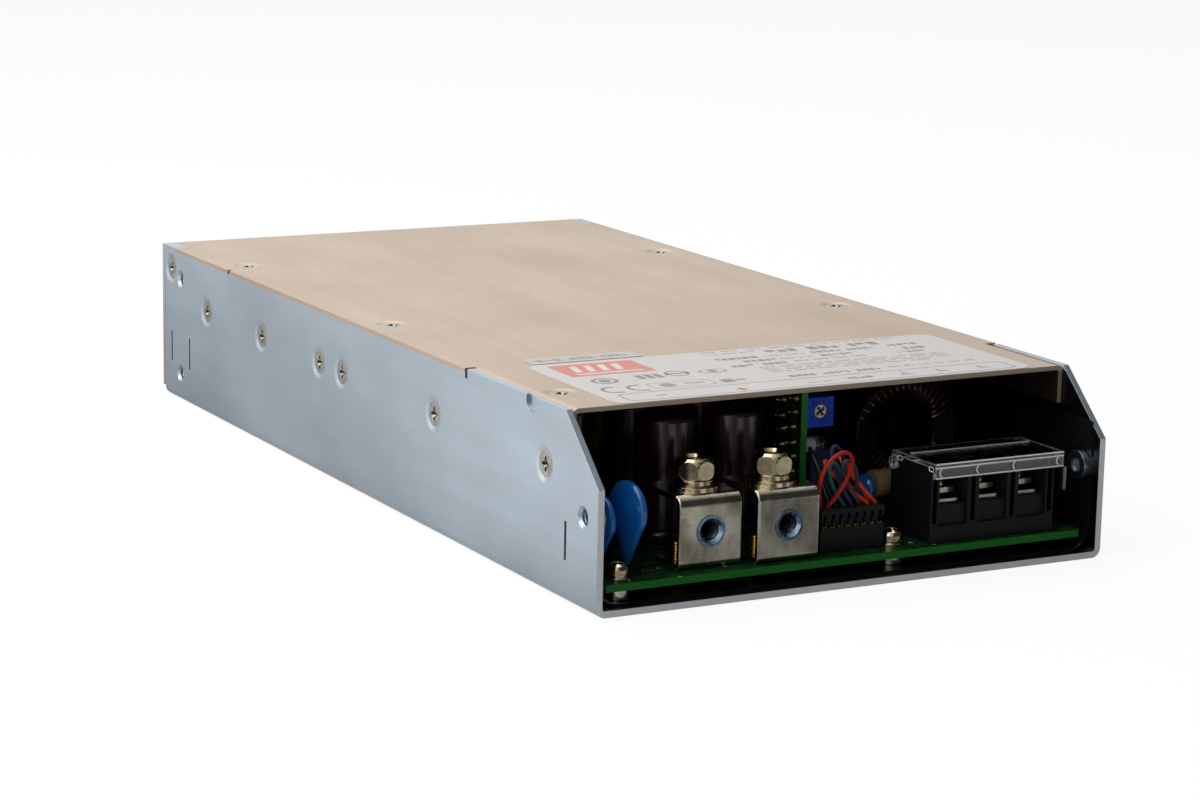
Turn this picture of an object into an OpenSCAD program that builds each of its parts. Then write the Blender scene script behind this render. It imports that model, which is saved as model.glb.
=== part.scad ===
// Enclosed low-profile switching power supply.
// A folded sheet chassis with an open terminal end, a flat lid, one main board,
// two output lugs, a mains terminal block with a hinged clear cover, and a fan.
// X is the width, Y the length (the open terminal end faces -Y), Z is up.
// The origin is the middle of the underside. All sizes are in millimetres.

/* [Case] */
// Overall width
case_w = 127; // [124:1:150]
// Overall length
case_l = 250; // [246:1:290]
// Overall height, label included
case_h = 41; // [41:0.5:50]
// Thickness of the chassis sheet
sheet_t = 1.5; // [1.2:0.1:1.6]
// Outer radius of the chassis folds
fold_r = 2.2; // [2:0.1:3]
// Thickness of the lid sheet
lid_t = 1; // [0.8:0.1:1.2]
// Distance from the terminal end to the lid
lid_setback = 15; // [13:0.5:17]
// Height of the side walls at the terminal end
wall_front_h = 27; // [26:0.5:30]
// Depth of the bent lips at the front of the lid
lip_drop = 8.5; // [5:0.5:9]
// Length of the left lip
lip_left_l = 47.7; // [44:0.1:55]
// Length of the right lip
lip_right_l = 28.3; // [20:0.1:40]
// Thickness of the rating label
label_t = 0.1; // [0.05:0.05:0.2]

/* [Fixings] */
// Radius of the M3 threads
m3_r = 1.45; // [1.4:0.05:1.5]
// Head radius of the flat screws
flat_head_r = 2.85; // [2.6:0.05:3]
// Head height of the flat screws
flat_head_h = 1.55; // [1.4:0.05:1.7]
// Bore radius of the M4 threaded collars
m4_r = 1.65; // [1.6:0.05:1.7]
// Outer radius of the threaded collars
collar_r = 3.2; // [3:0.1:3.6]
// Height of the collars above the sheet
collar_h = 2.2; // [1.5:0.1:2.4]
// Size of the fixing tabs under the lid
tab_l = 12; // [10:0.5:13]
// Spacing of the base mounting holes along X
base_hole_dx = 99; // [90:1:104]
// Spacing of the base mounting holes along Y
base_hole_dy = 200; // [190:1:205]

/* [Board] */
// Thickness of the main board
board_t = 1.6; // [1.2:0.1:2]
// Height of the standoffs under the board
standoff_h = 2.9; // [2.6:0.1:3.2]
// Distance from the terminal end to the board
board_setback = 3; // [2:0.5:4]
// Gap between the board's long edges and the walls
board_side_gap = 2; // [1.9:0.1:3]
// Thickness of the insulating film
film_t = 0.4; // [0.3:0.05:0.5]
// Height of the film beside the terminal block
film_flap_h = 29; // [20:0.5:29]

/* [Output lugs] */
// Width of each lug
lug_w = 15.2; // [14:0.1:16]
// Height of each lug
lug_h = 15.8; // [15:0.1:17]
// Depth of each lug
lug_d = 16; // [15:0.1:17]
// Thickness of the lug strip
lug_t = 1.2; // [1:0.1:1.5]
// Outer radius of the lug's bends
lug_bend_r = 2.4; // [2:0.1:3]
// X of the left lug's middle
lug_x1 = -32.8; // [-35:0.1:-32]
// X of the right lug's middle
lug_x2 = -14.8; // [-16:0.1:-13]
// Thread radius of the lug bolts and clinch nuts
m5_r = 2.1; // [2:0.05:2.3]
// Distance across the flats of the bolt heads
bolt_flats = 7.6; // [7.2:0.1:8.5]
// Height of the bolt heads
bolt_head_h = 4.7; // [4:0.1:5]

/* [Terminal block] */
// Number of ways
ways = 3; // [2:1:3]
// Distance from way to way
way_pitch = 10.4; // [10:0.1:10.6]
// Width of each open bay
bay_w = 7.4; // [7:0.1:7.6]
// Height of the block
block_h = 16.9; // [16:0.1:18]
// Depth of the block
block_d = 16; // [15:0.5:17]
// Thickness of the clear cover
flap_t = 1.1; // [0.9:0.1:1.4]
// Radius of the cover's hinge pins
flap_pin_r = 0.8; // [0.7:0.05:0.9]

/* [Fan] */
// Side of the square fan frame
fan_w = 38; // [36:0.5:38]
// Depth of the fan
fan_d = 28; // [24:0.5:30]
// Number of fan blades
blades = 7; // [5:1:9]
// Rings of slots in the finger guard
guard_rings = 4; // [3:1:4]

/* [Hidden] */
$fn = 48;

// Case that the inner parts are laid out for. When the case grows or shrinks, the places
// along it stretch between the front and rear stretches that keep their length, the places
// across it spread with the width, and parts in a smaller case shrink to fit
plan_w = 127;
plan_l = 250;
plan_h = 41;
keep_front = 60;
keep_rear = 36;
stretch_x = case_w / plan_w;
stretch_y = (case_l - keep_front - keep_rear) / (plan_l - keep_front - keep_rear);

function far(d) = d <= keep_front ? d
    : d >= plan_l - keep_rear ? case_l - plan_l + d
    : keep_front + (d - keep_front) * stretch_y;

// The fan shrinks with the case, and a larger fan lifts the lid
fan_room = 0.4;
fan_space = sheet_t + lid_t + label_t + fan_room;
fan_side = fan_w * (case_h - fan_space) / (plan_h - fan_space);
tall = max(case_h, fan_side + fan_space);
fit = min(1, stretch_x, stretch_y, tall / plan_h);

// Sheet metal
half_w = case_w / 2;
half_l = case_l / 2;
front = -half_l;
wall_in = half_w - sheet_t;
lid_top = tall - label_t;
lid_z = lid_top - lid_t;
seam = 0.2;
lid_gap = 0.1;
relief = 1.2;
corner_tab_l = 10;
corner_tab_w = 4;
thin = 0.01;

// Flat screws sit in dimples that are pressed into the sheet
dimple_r = flat_head_r + 1.2;
dimple_depth = 0.3;
dimple_wall = 0.6;
screw_gap = 0.1;
side_screw_z = lid_top - 13.4;
side_screw_y = [for (d = [24.2, 78.9, 130.3, 143.8, 180.4, 217.8]) far(d)];
corner_screw = [far(243.8), lid_top - 5.7];
side_screw_l = 5.2;
lid_screw_l = 5;
tab_collar_r = 2.6;
tab_collar_h = 1.5;
lid_screws_left = [31.3, far(117.2), far(207.2)];
lid_screws_right = [far(100.7), far(189.5)];
lid_screw_in = 7.5;
tab_w = lid_screw_in + 4;
gusset_r = 2.5;
gusset_depth = 0.7;
lid_screw_x = -half_w + lid_screw_in;
lip_r = 1.6;
lid_x_mid = half_w / 2;
ear_l = 8;
ear_h = 8.4;
right_screw_y = [side_screw_y[1], side_screw_y[3], side_screw_y[5]];
left_screws = concat([for (y = side_screw_y) [y, side_screw_z]], [corner_screw]);
right_screws = concat([for (y = right_screw_y) [y, side_screw_z]], [corner_screw]);
base_collar_h = 1.6;
label_w = case_w - 21.5;
label_l = 43.7;
label_x = 1.75;
label_r = 3.5;
label_front = front + lid_setback + 0.3;
sticker_w = 27.5;
sticker_l = 6;

// Threaded collars and narrow slots in the side walls: [distance from the front, height]
front_collars = [[6.5, 20], [5.5, 20.3]];
rear_collars = [[far(236.7), lid_top - 7.7], [far(237.2), 7.7]];

// Slots: [distance from the front, height, length, width], the first one at the left and the right
front_slots = [[14.2, 13.3, 8.4, 0.9], [12.3, 15.5, 5.4, 1.4]];
rear_slots = [[far(230.4), 14, 8.4, 0.9], [far(243.4), 14.1, 8.4, 0.9]];

// Board and film
board_z = sheet_t + standoff_h;
board_top = board_z + board_t;
board_x = wall_in - board_side_gap;
board_front = front + board_setback;
fan_front = half_l - sheet_t - fan_d;
board_back = fan_front - 3.5;
film_gap = 0.1;
film_r = 5.4;
film_low_h = 12;
film_front = front + 2.5;
film_back = board_back + 1;
film_flap_l = 58;
standoff_r = 2.8;
rear_post_y = min(board_back - 8, base_hole_dy / 2 - 8);
standoff_xy = [
    [5.1 - board_x, front + 7.1], [13.8, front + 8.9], [12 - board_x, front + far(125)],
    [board_x - 8, front + far(135)], [10 - board_x, rear_post_y], [board_x - 8, rear_post_y]
];
washer_t = 0.5;
spring_t = 0.8;
pan_r = 2.4;
pan_h = 2.1;

// Heat bars, screwed to the walls
bar_t = 4;
bar_x = wall_in;
bar_z = 14;
bar_h = lid_top - lip_drop - 0.5 - bar_z;
output_bar = [17, 120];
input_bar = [139, 86];
right_bar = [62, 162];
transistor_y = [95, 114, 156, 176, 196];
transistor_w = 16 * fit;
transistor_h = 21 * fit;
transistor_t = 5;
clip_t = 0.8;
transistor_z = 8;
bridge_y = 85;
bridge_w = 26 * fit;
bridge_t = 5;

// Output lugs
lug_xs = [lug_x1, lug_x2];
lug_fronts = [front + 6.9, front + 5];
bolt_back = 7;
bolt_dx = -0.4;
lug_foot_r = 1.4;
nut_z = board_top + 8;
nut_r = 3;
lug_foot_d = 10;
nut_l = 4.2;
bolt_l = 9;
lug_washer_r = 5.4;
lug_washer_t = 1;
lug_spring_r = 4.3;
lug_spring_t = 1.2;
stud_dx = -4.6;
stud_back = 6.1;

// Mains terminal block
block_left = 21.1 * stretch_x;
block_front = front + 5;
bay_side = way_pitch - bay_w;
block_end = 2.2;
block_w = (ways - 1) * way_pitch + bay_w + 2 * block_end;
block_top = board_top + block_h;
sill_h = 3.8;
plate_z = board_top + 9.3;
plate_t = 1;
plate_w = 5.4;
plate_front = 2.2;
bay_floor = plate_z - plate_t;
bay_back = 3.2;
groove_w = 1.1;
groove_d = 3.4;
flap_gap = 0.3;
flap_over = 2.4;
flap_side = 0.7;
flap_lip = 3.4;
hinge_r = 1.5;
hinge_y = block_front + block_d - hinge_r;
hinge_z = block_top - hinge_r;
hinge_clear = 0.05;
arm_t = 1.3;
arm_r = 1.4;
arm_gap = 0.3;
arm_in = arm_t - flap_side;
pin_l = 1.3;
term_r = 1.7;
term_head_r = 2.5;
term_head_h = 2.8;
screw_y = block_front + 7.4;
washer_lift = 0.9;
clamp_t = 0.8;

// Control board
ctrl_x = 0;
ctrl_front = front + 24;
ctrl_l = 38;
ctrl_top = lid_z - 2;
ctrl_face = ctrl_x + board_t / 2;
trim_w = 6.6;
trim_d = 4.8;
trim_z = ctrl_top - 8.1;
rotor_r = 1.5;
rotor_d = 2;
rotor_clear = 0.05;
led_y = ctrl_front + 4.6;
led_z = ctrl_top - 12.9;
led_r = 1.5;
led_spacer_r = 2;
led_spacer_l = 4.2;
led_l = 4;

// Header, plug and its wire loops
plug_pins = 8;
plug_pitch = 2;
plug_x = 2.9;
plug_front = front + 8.2;
plug_w = plug_pins * plug_pitch - 1.1;
plug_d = 6.4;
header_h = 5.4;
header_wall = 0.5;
plug_top = board_top + 9.4;
plug_rim = 2.3;
plug_over = 0.5;
pin_hole = 1.2;
wire_r = 0.45;
wire_sides = 8;
wire_steps = 16;
row_y = [plug_front + 1.7, plug_front + 4.7];

// Fan
fan_z = sheet_t + fan_side / 2;
fan_bore_r = fan_side / 2 - 1.1;
fan_hub_r = fan_side * 0.274;
fan_gap = 0.6;
fan_shaft_r = 1.5;
fan_tube_r = 3;
guard_slot = 2.6;
guard_web = 1.4;
guard_in = 3;
fan_hole = fan_side / 2 - 3;
fan_flange = 4;
guard_spoke = 3;
fan_screw_l = 6;
fan_head_r = 2.5;
fan_head_h = 1.3;

// Parts on the main board. Discs: [X, distance from the front, neck, radius, thickness]
inner_h = lid_z - board_top;
disc_places = [[10.5 - board_x, 13, 6.3, 6.4, 3.6], [5 - board_x, 15.5, 5.2, 5.7, 3.2], [16.5, 24.5, 5.6, 3.2, 3]];
output_cap_r = 6.5 * fit;
output_cap_h = inner_h - 5.9;
output_cap_x = -46.9 * stretch_x;
output_cap_y = 33;
output_cap_dx = 17.1 * stretch_x;
output_cap_dy = 14.5;
output_cap_grid = [[1, 0], [2, 0], [0, 1], [1, 1], [2, 1]];
bulk_x = -32 * stretch_x;
bulk_y = [far(150), far(177)];
bulk_dx = 27 * stretch_x;
bulk_r = 12.5 * fit;
bulk_h = inner_h - 1.9;
xfmr_x = -14 * stretch_x;
xfmr_y = far(92);
xfmr_foot = 2.5;
core_w = 44 * fit;
core_d = 14 * fit;
core_h = 28 * fit;
core_leg = 12 * fit;
core_win = 9 * fit;
core_yoke = 6;
bobbin_t = 1.2;
choke_x = 40.5 * stretch_x;
choke_y = 50;
choke_r = 13.8 * fit;
choke_in = 7.5 * fit;
choke_h = 11;
choke_wire = 1.4;
out_choke_x = -42 * stretch_x;
out_choke_y = far(70);
out_choke_r = 12.3 * fit;
out_choke_in = 6.5 * fit;
out_choke_h = 12;
out_choke_wire = 1.5;
boxes = [[9, 38, 7, 16, 17], [24, 70, 26, 12, 20], [40, 108, 18, 12, 16], [26, 130, 12, 20, 18], [40, 205, 16, 9, 14]];
fuse_x = 29.2 * stretch_x;
fuse_y = 27.5;
fuse_z = board_top + 8.8;
fuse_r = 3.1;
fuse_l = 18 * fit;
relay_x = 46 * stretch_x;
relay_y = far(175);
relay_w = 14 * fit;
relay_l = 20 * fit;
relay_h = 16;

// Fan lead: its wires' radius, its connector and its route
lead_r = 0.5;
lead_x = 22 * stretch_x;
lead_y = board_back - 10;
lead_plug_z = board_top + 5;
lead_z = fan_z - fan_side / 2 + 6;
lead_start = [fan_side / 2 - 5, fan_front, lead_z];
lead_end = [lead_x, lead_y, lead_plug_z];
lead_route = [for (i = [0 : 12]) curve(lead_start, lead_end, [0, -5, 3], [0, 0, 7], i / 12)];

// A flat plate with four round corners, lying on Z = 0
module round_plate(x, y, z, r) {
    linear_extrude(height = z) round_rect(x, y, r);
}

module round_rect(x, y, r) {
    union() {
        square([x - 2 * r, y], center = true);
        square([x, y - 2 * r], center = true);
        for (i = [-1, 1], j = [-1, 1]) translate([i * (x / 2 - r), j * (y / 2 - r)]) circle(r = r);
    }
}

// A box given by its low corner and its high corner
module span(low, high) {
    translate(low) cube(high - low);
}

// Puts children at the same place on the left wall and the right wall, facing out
module on_walls(sides = [-1, 1]) {
    for (s = sides) if (s < 0) children(); else mirror([1, 0, 0]) children();
}

// Turns a shape drawn along +Z so that it points into the left wall, along +X
module from_left(y, z, depth = 0) {
    translate([-half_w + depth, front + y, z]) rotate([0, 90, 0]) children();
}

// The cross recess of a Phillips head
module cross_recess(size, depth) {
    for (a = [0, 90]) rotate(a) translate([-size / 2, -0.35, -depth]) cube([size, 0.7, depth + 1]);
    translate([0, 0, -depth * 1.3]) cylinder(r1 = 0.3, r2 = size / 3.2, h = depth * 1.3 + thin);
}

// A countersunk screw with its flat head on Z = 0 and its shank downwards
module flat_screw(length, head_r = flat_head_r, head_h = flat_head_h) {
    difference() {
        union() {
            translate([0, 0, -head_h]) cylinder(r1 = m3_r, r2 = head_r, h = head_h);
            translate([0, 0, -length]) cylinder(r = m3_r, h = length);
        }
        cross_recess(3.2, 0.9);
    }
}

// The cone that a countersunk head fills, its wide end on Z = 0
module head_seat(small_r, wide_r, h) {
    translate([0, 0, -h]) cylinder(r1 = small_r, r2 = wide_r, h = h);
    cylinder(r = wide_r, h = thin);
}

// What a flat screw takes out of the sheet, from its outer face on Z = 0
module dimple_hole(sheet) {
    translate([0, 0, -dimple_depth]) cylinder(r1 = flat_head_r, r2 = dimple_r, h = dimple_depth + thin);
    translate([0, 0, -dimple_depth]) head_seat(m3_r, flat_head_r, flat_head_h);
    translate([0, 0, -sheet - 2]) cylinder(r = m3_r, h = sheet + 2);
}

// The bulge that a dimple leaves on the inner face of the sheet, or its seat in the next piece
module dimple_bulge(sheet, grow = 0) {
    reach = dimple_depth + flat_head_h - sheet + dimple_wall / 2;
    translate([0, 0, -sheet - reach - grow])
        cylinder(r1 = m3_r + dimple_wall + grow, r2 = flat_head_r + dimple_wall + grow, h = reach + grow + thin);
}

// ---- Chassis: one folded sheet ----

// Base and side walls in section, outer or inner outline
module channel(w, h, r) {
    translate([-w / 2 + r, 0]) square([w - 2 * r, h]);
    translate([-w / 2, r]) square([w, h - r]);
    for (s = [-1, 1]) translate([s * (w / 2 - r), r]) circle(r = r);
}

module channel_wall(w, h, r, t) {
    difference() {
        channel(w, h, r);
        translate([0, t]) channel(w - 2 * t, h, r - t);
    }
}

// A quarter of a bent sheet in section, about its bend centre, towards +X and -Y
module fold(r, t) {
    intersection() {
        difference() {
            circle(r = r);
            circle(r = r - t);
        }
        translate([0, -r]) square(r);
    }
}

module side_channel() {
    translate([0, half_l - sheet_t - seam, 0]) rotate([90, 0, 0])
        linear_extrude(height = case_l - sheet_t - seam) channel_wall(case_w, lid_top, fold_r, sheet_t);
}

flat_w = case_w - 2 * (fold_r + seam);

// End of the base and the rear wall, folded up along X, with small reliefs at the corners
module rear_wall() {
    translate([-flat_w / 2, half_l - fold_r, 0]) rotate([90, 0, 90]) linear_extrude(height = flat_w) {
        translate([-sheet_t, 0]) square([sheet_t + thin, sheet_t]);
        translate([0, fold_r]) fold(fold_r, sheet_t);
        translate([fold_r - sheet_t, fold_r - thin]) square([sheet_t, lid_z - fold_r]);
    }
    span([-half_w, half_l - sheet_t, fold_r + seam], [half_w, half_l, lid_z]);
}

// Ear of the rear wall, folded forwards inside the side wall for the corner screw
module rear_ear() {
    span([-wall_in + seam, half_l - sheet_t - ear_l, corner_screw[1] - ear_h / 2],
         [-wall_in + seam + sheet_t, half_l - sheet_t + thin, corner_screw[1] + ear_h / 2]);
}

// Arc slots of the punched finger guard over the fan
module guard_slots() {
    translate([0, half_l + 1, fan_z]) rotate([90, 0, 0]) difference() {
        for (i = [0 : guard_rings - 1]) {
            inner = guard_in + i * (guard_slot + guard_web);
            difference() {
                cylinder(r = inner + guard_slot, h = sheet_t + 2);
                translate([0, 0, -1]) cylinder(r = inner, h = sheet_t + 4);
            }
        }
        for (a = [0, 90]) rotate(a) cube([4 * fan_side, guard_spoke, 4 * sheet_t + 8], center = true);
    }
}

// Fixing tab under the lid at the left wall, with a threaded collar
module lid_tab(y) {
    span([-wall_in - thin, front + y - tab_l / 2, lid_z - sheet_t],
         [-wall_in + tab_w, front + y + tab_l / 2, lid_z]);
    translate([lid_screw_x, front + y, lid_z - sheet_t - tab_collar_h])
        cylinder(r = tab_collar_r, h = tab_collar_h + thin);
}

module lid_tab_hole(y) {
    translate([lid_screw_x, front + y, lid_top]) {
        dimple_bulge(lid_t, screw_gap);
        translate([0, 0, -tall / 4]) cylinder(r = m3_r, h = tall / 4);
    }
}

// Threaded collar pressed inwards from the left wall, and its bore
module wall_collar(p) {
    from_left(p[0], p[1], sheet_t - thin) cylinder(r = collar_r, h = collar_h + thin);
}

module wall_collar_bore(p) {
    from_left(p[0], p[1], -1) cylinder(r = m4_r, h = sheet_t + collar_h + 2);
    from_left(p[0], p[1], -thin) cylinder(r1 = m4_r + 0.7, r2 = m4_r, h = 0.7);
}

module wall_slot(p, grow = 0) {
    from_left(p[0], p[1], -1) translate([-p[2] / 2 - grow, -p[3] / 2 - grow, 0])
        cube([p[2] + 2 * grow, p[3] + 2 * grow, sheet_t + 3]);
}

// What is cut from the left wall: its edge under the lid, the slots and the threads
module wall_cuts(lip_l, side) {
    step = front + lid_setback + lip_l;
    span([-half_w - 1, step, lid_z], [-wall_in + thin, half_l - corner_tab_l, tall]);
    span([-half_w - 1, step - relief, lid_z - relief], [-wall_in + thin, step, tall]);
    for (s = concat([front_slots[side]], rear_slots)) wall_slot(s);
    for (p = concat([front_collars[side]], rear_collars)) wall_collar_bore(p);
}

// The sloped front corner of both walls
module front_slope() {
    rise = lid_top - wall_front_h;
    slope = lid_setback / rise;
    translate([-half_w - 1, front, wall_front_h]) rotate([90, 0, 90]) linear_extrude(height = case_w + 2)
        polygon([[-1, -1 / slope], [-1, rise + 1], [slope * (rise + 1), rise + 1]]);
}

// Screw dimples of one side, pressed in from outside; cut takes the holes out
module side_dimples(places, cut = false) {
    for (p = places) from_left(p[0], p[1]) mirror([0, 0, 1])
        if (cut) dimple_hole(sheet_t); else dimple_bulge(sheet_t);
}

module at_base_holes() {
    for (x = [-1, 1], y = [-1, 1]) translate([x * base_hole_dx / 2, y * base_hole_dy / 2, 0]) children();
}

module chassis() {
    color("lightsteelblue") difference() {
        union() {
            difference() {
                side_channel();
                span([-flat_w / 2, half_l - fold_r, -1], [flat_w / 2, half_l, fold_r]);
            }
            rear_wall();
            for (y = lid_screws_left) lid_tab(y);
            mirror([1, 0, 0]) for (y = lid_screws_right) lid_tab(y);
            side_dimples(left_screws);
            mirror([1, 0, 0]) side_dimples(right_screws);
            on_walls() {
                rear_ear();
                for (p = rear_collars) wall_collar(p);
                span([-half_w, half_l - corner_tab_l, lid_top - sheet_t],
                     [-half_w + corner_tab_w, half_l, lid_top]);
            }
            wall_collar(front_collars[0]);
            mirror([1, 0, 0]) wall_collar(front_collars[1]);
            at_base_holes() cylinder(r = collar_r, h = sheet_t + base_collar_h);
        }
        front_slope();
        wall_cuts(lip_left_l, 0);
        mirror([1, 0, 0]) wall_cuts(lip_right_l, 1);
        for (y = lid_screws_left) lid_tab_hole(y);
        mirror([1, 0, 0]) for (y = lid_screws_right) lid_tab_hole(y);
        side_dimples(left_screws, true);
        mirror([1, 0, 0]) side_dimples(right_screws, true);
        from_left(lid_screws_left[0] - 0.9, lid_top - 1, gusset_depth - gusset_r)
            cylinder(r = gusset_r, h = gusset_r);
        at_base_holes() translate([0, 0, -1]) cylinder(r = m4_r, h = sheet_t + collar_h + 2);
        guard_slots();
        on_walls() from_left(corner_screw[0], corner_screw[1]) cylinder(r = m3_r, h = 3 * sheet_t);
        at_fan_screws() fan_screw_seat();
    }
}

// ---- Lid ----

// One bent lip of the lid, at the left, from the lid's front edge
module lip(length) {
    translate([-wall_in + lid_gap, front + lid_setback, lid_top]) rotate([90, 0, 0]) mirror([0, 0, 1])
        linear_extrude(height = length) {
            translate([lip_r, -lip_r]) mirror([1, 0]) mirror([0, 1]) fold(lip_r, lid_t);
            translate([0, -lip_drop]) square([lid_t, lip_drop - lip_r + thin]);
            translate([lip_r - thin, -lid_t]) square([lid_x_mid, lid_t]);
        }
}

// One half of the flat part of the lid that lies on the left wall
module lid_half(lip_l) {
    span([-half_w, front + lid_setback + lip_l + lid_gap, lid_z], [thin, half_l, lid_top]);
}

module lid() {
    color("burlywood") difference() {
        union() {
            lid_half(lip_left_l);
            lip(lip_left_l + 1);
            mirror([1, 0, 0]) {
                lid_half(lip_right_l);
                lip(lip_right_l + 1);
            }
            span([-lid_x_mid, front + lid_setback, lid_z], [lid_x_mid, 0, lid_top]);
            at_lid_screws() dimple_bulge(lid_t);
        }
        at_lid_screws() dimple_hole(lid_t);
        // Clearance in the left lip for the fixing tab
        span([-wall_in, front + lid_screws_left[0] - tab_l / 2 - 0.5, lid_top - lip_drop - 1],
             [-wall_in + lid_gap + lid_t + 0.5, front + lid_screws_left[0] + tab_l / 2 + 0.5, lid_z]);
        on_walls() span([-half_w - 1, half_l - corner_tab_l - lid_gap, lid_z - 1],
                        [-half_w + corner_tab_w + lid_gap, half_l + 1, tall + 1]);
        span([-half_w - 1, front + far(201.6), lid_z - 1], [-half_w + 0.9, front + far(201.6) + 1.4, tall + 1]);
    }
}

module at_lid_screws() {
    for (y = lid_screws_left) translate([lid_screw_x, front + y, lid_top]) children();
    for (y = lid_screws_right) translate([-lid_screw_x, front + y, lid_top]) children();
}

module rating_label() {
    color("whitesmoke") translate([label_x, label_front + label_l / 2, lid_top])
        round_plate(label_w, label_l, label_t, label_r);
}

module strip_sticker() {
    color("silver") translate([label_x - label_w / 2 + sticker_w / 2 + 3, label_front + label_l + 4, lid_top])
        round_plate(sticker_w, sticker_l, label_t, 0.6);
}

// ---- Film and boards ----

module insulating_film() {
    color("#151516") difference() {
        translate([0, film_back, sheet_t]) rotate([90, 0, 0]) {
            linear_extrude(height = film_back - film_front)
                channel_wall(2 * wall_in, film_low_h, film_r, film_t);
            translate([wall_in - film_t, film_low_h - thin, film_back - film_front - film_flap_l])
                cube([film_t, film_flap_h - film_low_h, film_flap_l]);
        }
        for (p = standoff_xy) translate([p[0], p[1], 0]) cylinder(r = standoff_r + 0.5, h = board_z);
        at_base_holes() cylinder(r = collar_r + 0.5, h = board_z);
        for (s = [0, 1]) mirror([s, 0, 0]) {
            wall_slot(front_slots[s], 0.3);
            from_left(front_collars[s][0], front_collars[s][1]) cylinder(r = collar_r + 0.5, h = sheet_t + 2);
        }
    }
}

module main_board() {
    color("forestgreen") difference() {
        translate([0, (board_front + board_back) / 2, board_z])
            round_plate(2 * board_x, board_back - board_front, board_t, 0.6);
        for (p = standoff_xy) translate([p[0], p[1], 0]) cylinder(r = m3_r + 0.15, h = tall);
        at_lugs() translate([stud_dx, stud_back, -board_top]) cylinder(r = m3_r, h = tall);
    }
}

module ring(outer, inner, h) {
    difference() {
        cylinder(r = outer, h = h);
        translate([0, 0, -1]) cylinder(r = inner, h = h + 2);
    }
}

module standoffs() {
    color("silver") for (p = standoff_xy) translate([p[0], p[1], sheet_t])
        ring(standoff_r, m3_r, standoff_h);
}

module board_washers() {
    color("gainsboro") for (p = standoff_xy) translate([p[0], p[1], board_top]) {
        ring(pan_r + 0.3, m3_r + 0.15, washer_t);
        translate([0, 0, washer_t]) ring(pan_r - 0.1, m3_r + 0.15, spring_t);
    }
}

// A pan head screw with its seat on Z = 0 and its shank downwards
module pan_screw(r, head_r, head_h, length) {
    difference() {
        union() {
            cylinder(r = head_r, h = head_h * 0.45);
            translate([0, 0, head_h * 0.45]) cylinder(r1 = head_r, r2 = head_r * 0.86, h = head_h * 0.35);
            translate([0, 0, head_h * 0.8]) cylinder(r1 = head_r * 0.86, r2 = head_r * 0.55, h = head_h * 0.2);
            translate([0, 0, -length]) cylinder(r = r, h = length + thin);
        }
        translate([0, 0, head_h]) cross_recess(head_r * 1.1, head_h * 0.55);
    }
}

module board_screws() {
    stack = washer_t + spring_t;
    color("gainsboro") for (p = standoff_xy) translate([p[0], p[1], board_top + stack])
        pan_screw(m3_r, pan_r, pan_h, stack + board_t + standoff_h - 0.3);
}

// ---- Heat bars and power devices on the walls ----

module heat_bar(range, screws) {
    difference() {
        span([-bar_x, front + far(range[0]), bar_z],
             [-bar_x + bar_t, front + far(range[0] + range[1]), bar_z + bar_h]);
        for (y = screws) from_left(y, side_screw_z) mirror([0, 0, 1]) {
            dimple_bulge(sheet_t, screw_gap);
            translate([0, 0, -side_screw_l]) cylinder(r = m3_r, h = side_screw_l);
        }
    }
}

module output_heat_bar() {
    color("silver") heat_bar(output_bar, [for (i = [0 : 2]) side_screw_y[i]]);
}

module input_heat_bar() {
    color("silver") heat_bar(input_bar, [for (i = [3 : 5]) side_screw_y[i]]);
}

module right_heat_bar() {
    color("silver") mirror([1, 0, 0]) heat_bar(right_bar, right_screw_y);
}

module power_transistors() {
    x = -bar_x + bar_t;
    color("#202022") for (d = transistor_y) translate([0, front + far(d), 0]) {
        span([x, -transistor_w / 2, transistor_z], [x + transistor_t, transistor_w / 2, transistor_z + transistor_h]);
        for (i = [-1 : 1])
            span([x + 2, i * 5.4 - 0.6, board_top], [x + 2.6, i * 5.4 + 0.6, transistor_z + thin]);
    }
}

module transistor_clips() {
    x = -bar_x + bar_t + transistor_t;
    top = bar_z + bar_h;
    tip = transistor_z + 9;
    color("slategray") for (d = transistor_y) translate([0, front + far(d) + 4, 0]) rotate([90, 0, 0])
        linear_extrude(height = 8) polygon([
            [-bar_x + 0.5, top], [-bar_x + 0.5, top + clip_t], [x + clip_t, top + clip_t],
            [x + clip_t, tip], [x + clip_t + 1, tip - 2.4], [x + 1, tip - 2.4], [x, tip], [x, top]
        ]);
}

module bridge_rectifier() {
    x = bar_x - bar_t;
    color("#202022") {
        translate([x, front + far(bridge_y), 0]) {
            span([-bridge_t, -bridge_w / 2, transistor_z], [0, bridge_w / 2, transistor_z + transistor_h]);
            for (i = [-1.5 : 1.5]) span([-bridge_t / 2 - 0.4, i * 6 - 0.5, board_top],
                                        [-bridge_t / 2 + 0.4, i * 6 + 0.5, transistor_z + thin]);
        }
    }
}

module side_screws() {
    color("gainsboro") {
        for (p = left_screws) from_left(p[0], p[1], dimple_depth) mirror([0, 0, 1])
            flat_screw(side_screw_l - dimple_depth);
        mirror([1, 0, 0]) for (p = right_screws) from_left(p[0], p[1], dimple_depth) mirror([0, 0, 1])
            flat_screw(side_screw_l - dimple_depth);
    }
}

module lid_screws() {
    color("gainsboro") at_lid_screws() translate([0, 0, -dimple_depth]) flat_screw(lid_screw_l - dimple_depth);
}

// ---- Output lugs ----

module at_lugs() {
    for (i = [0, 1]) translate([lug_xs[i], lug_fronts[i], board_top]) children();
}

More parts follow.
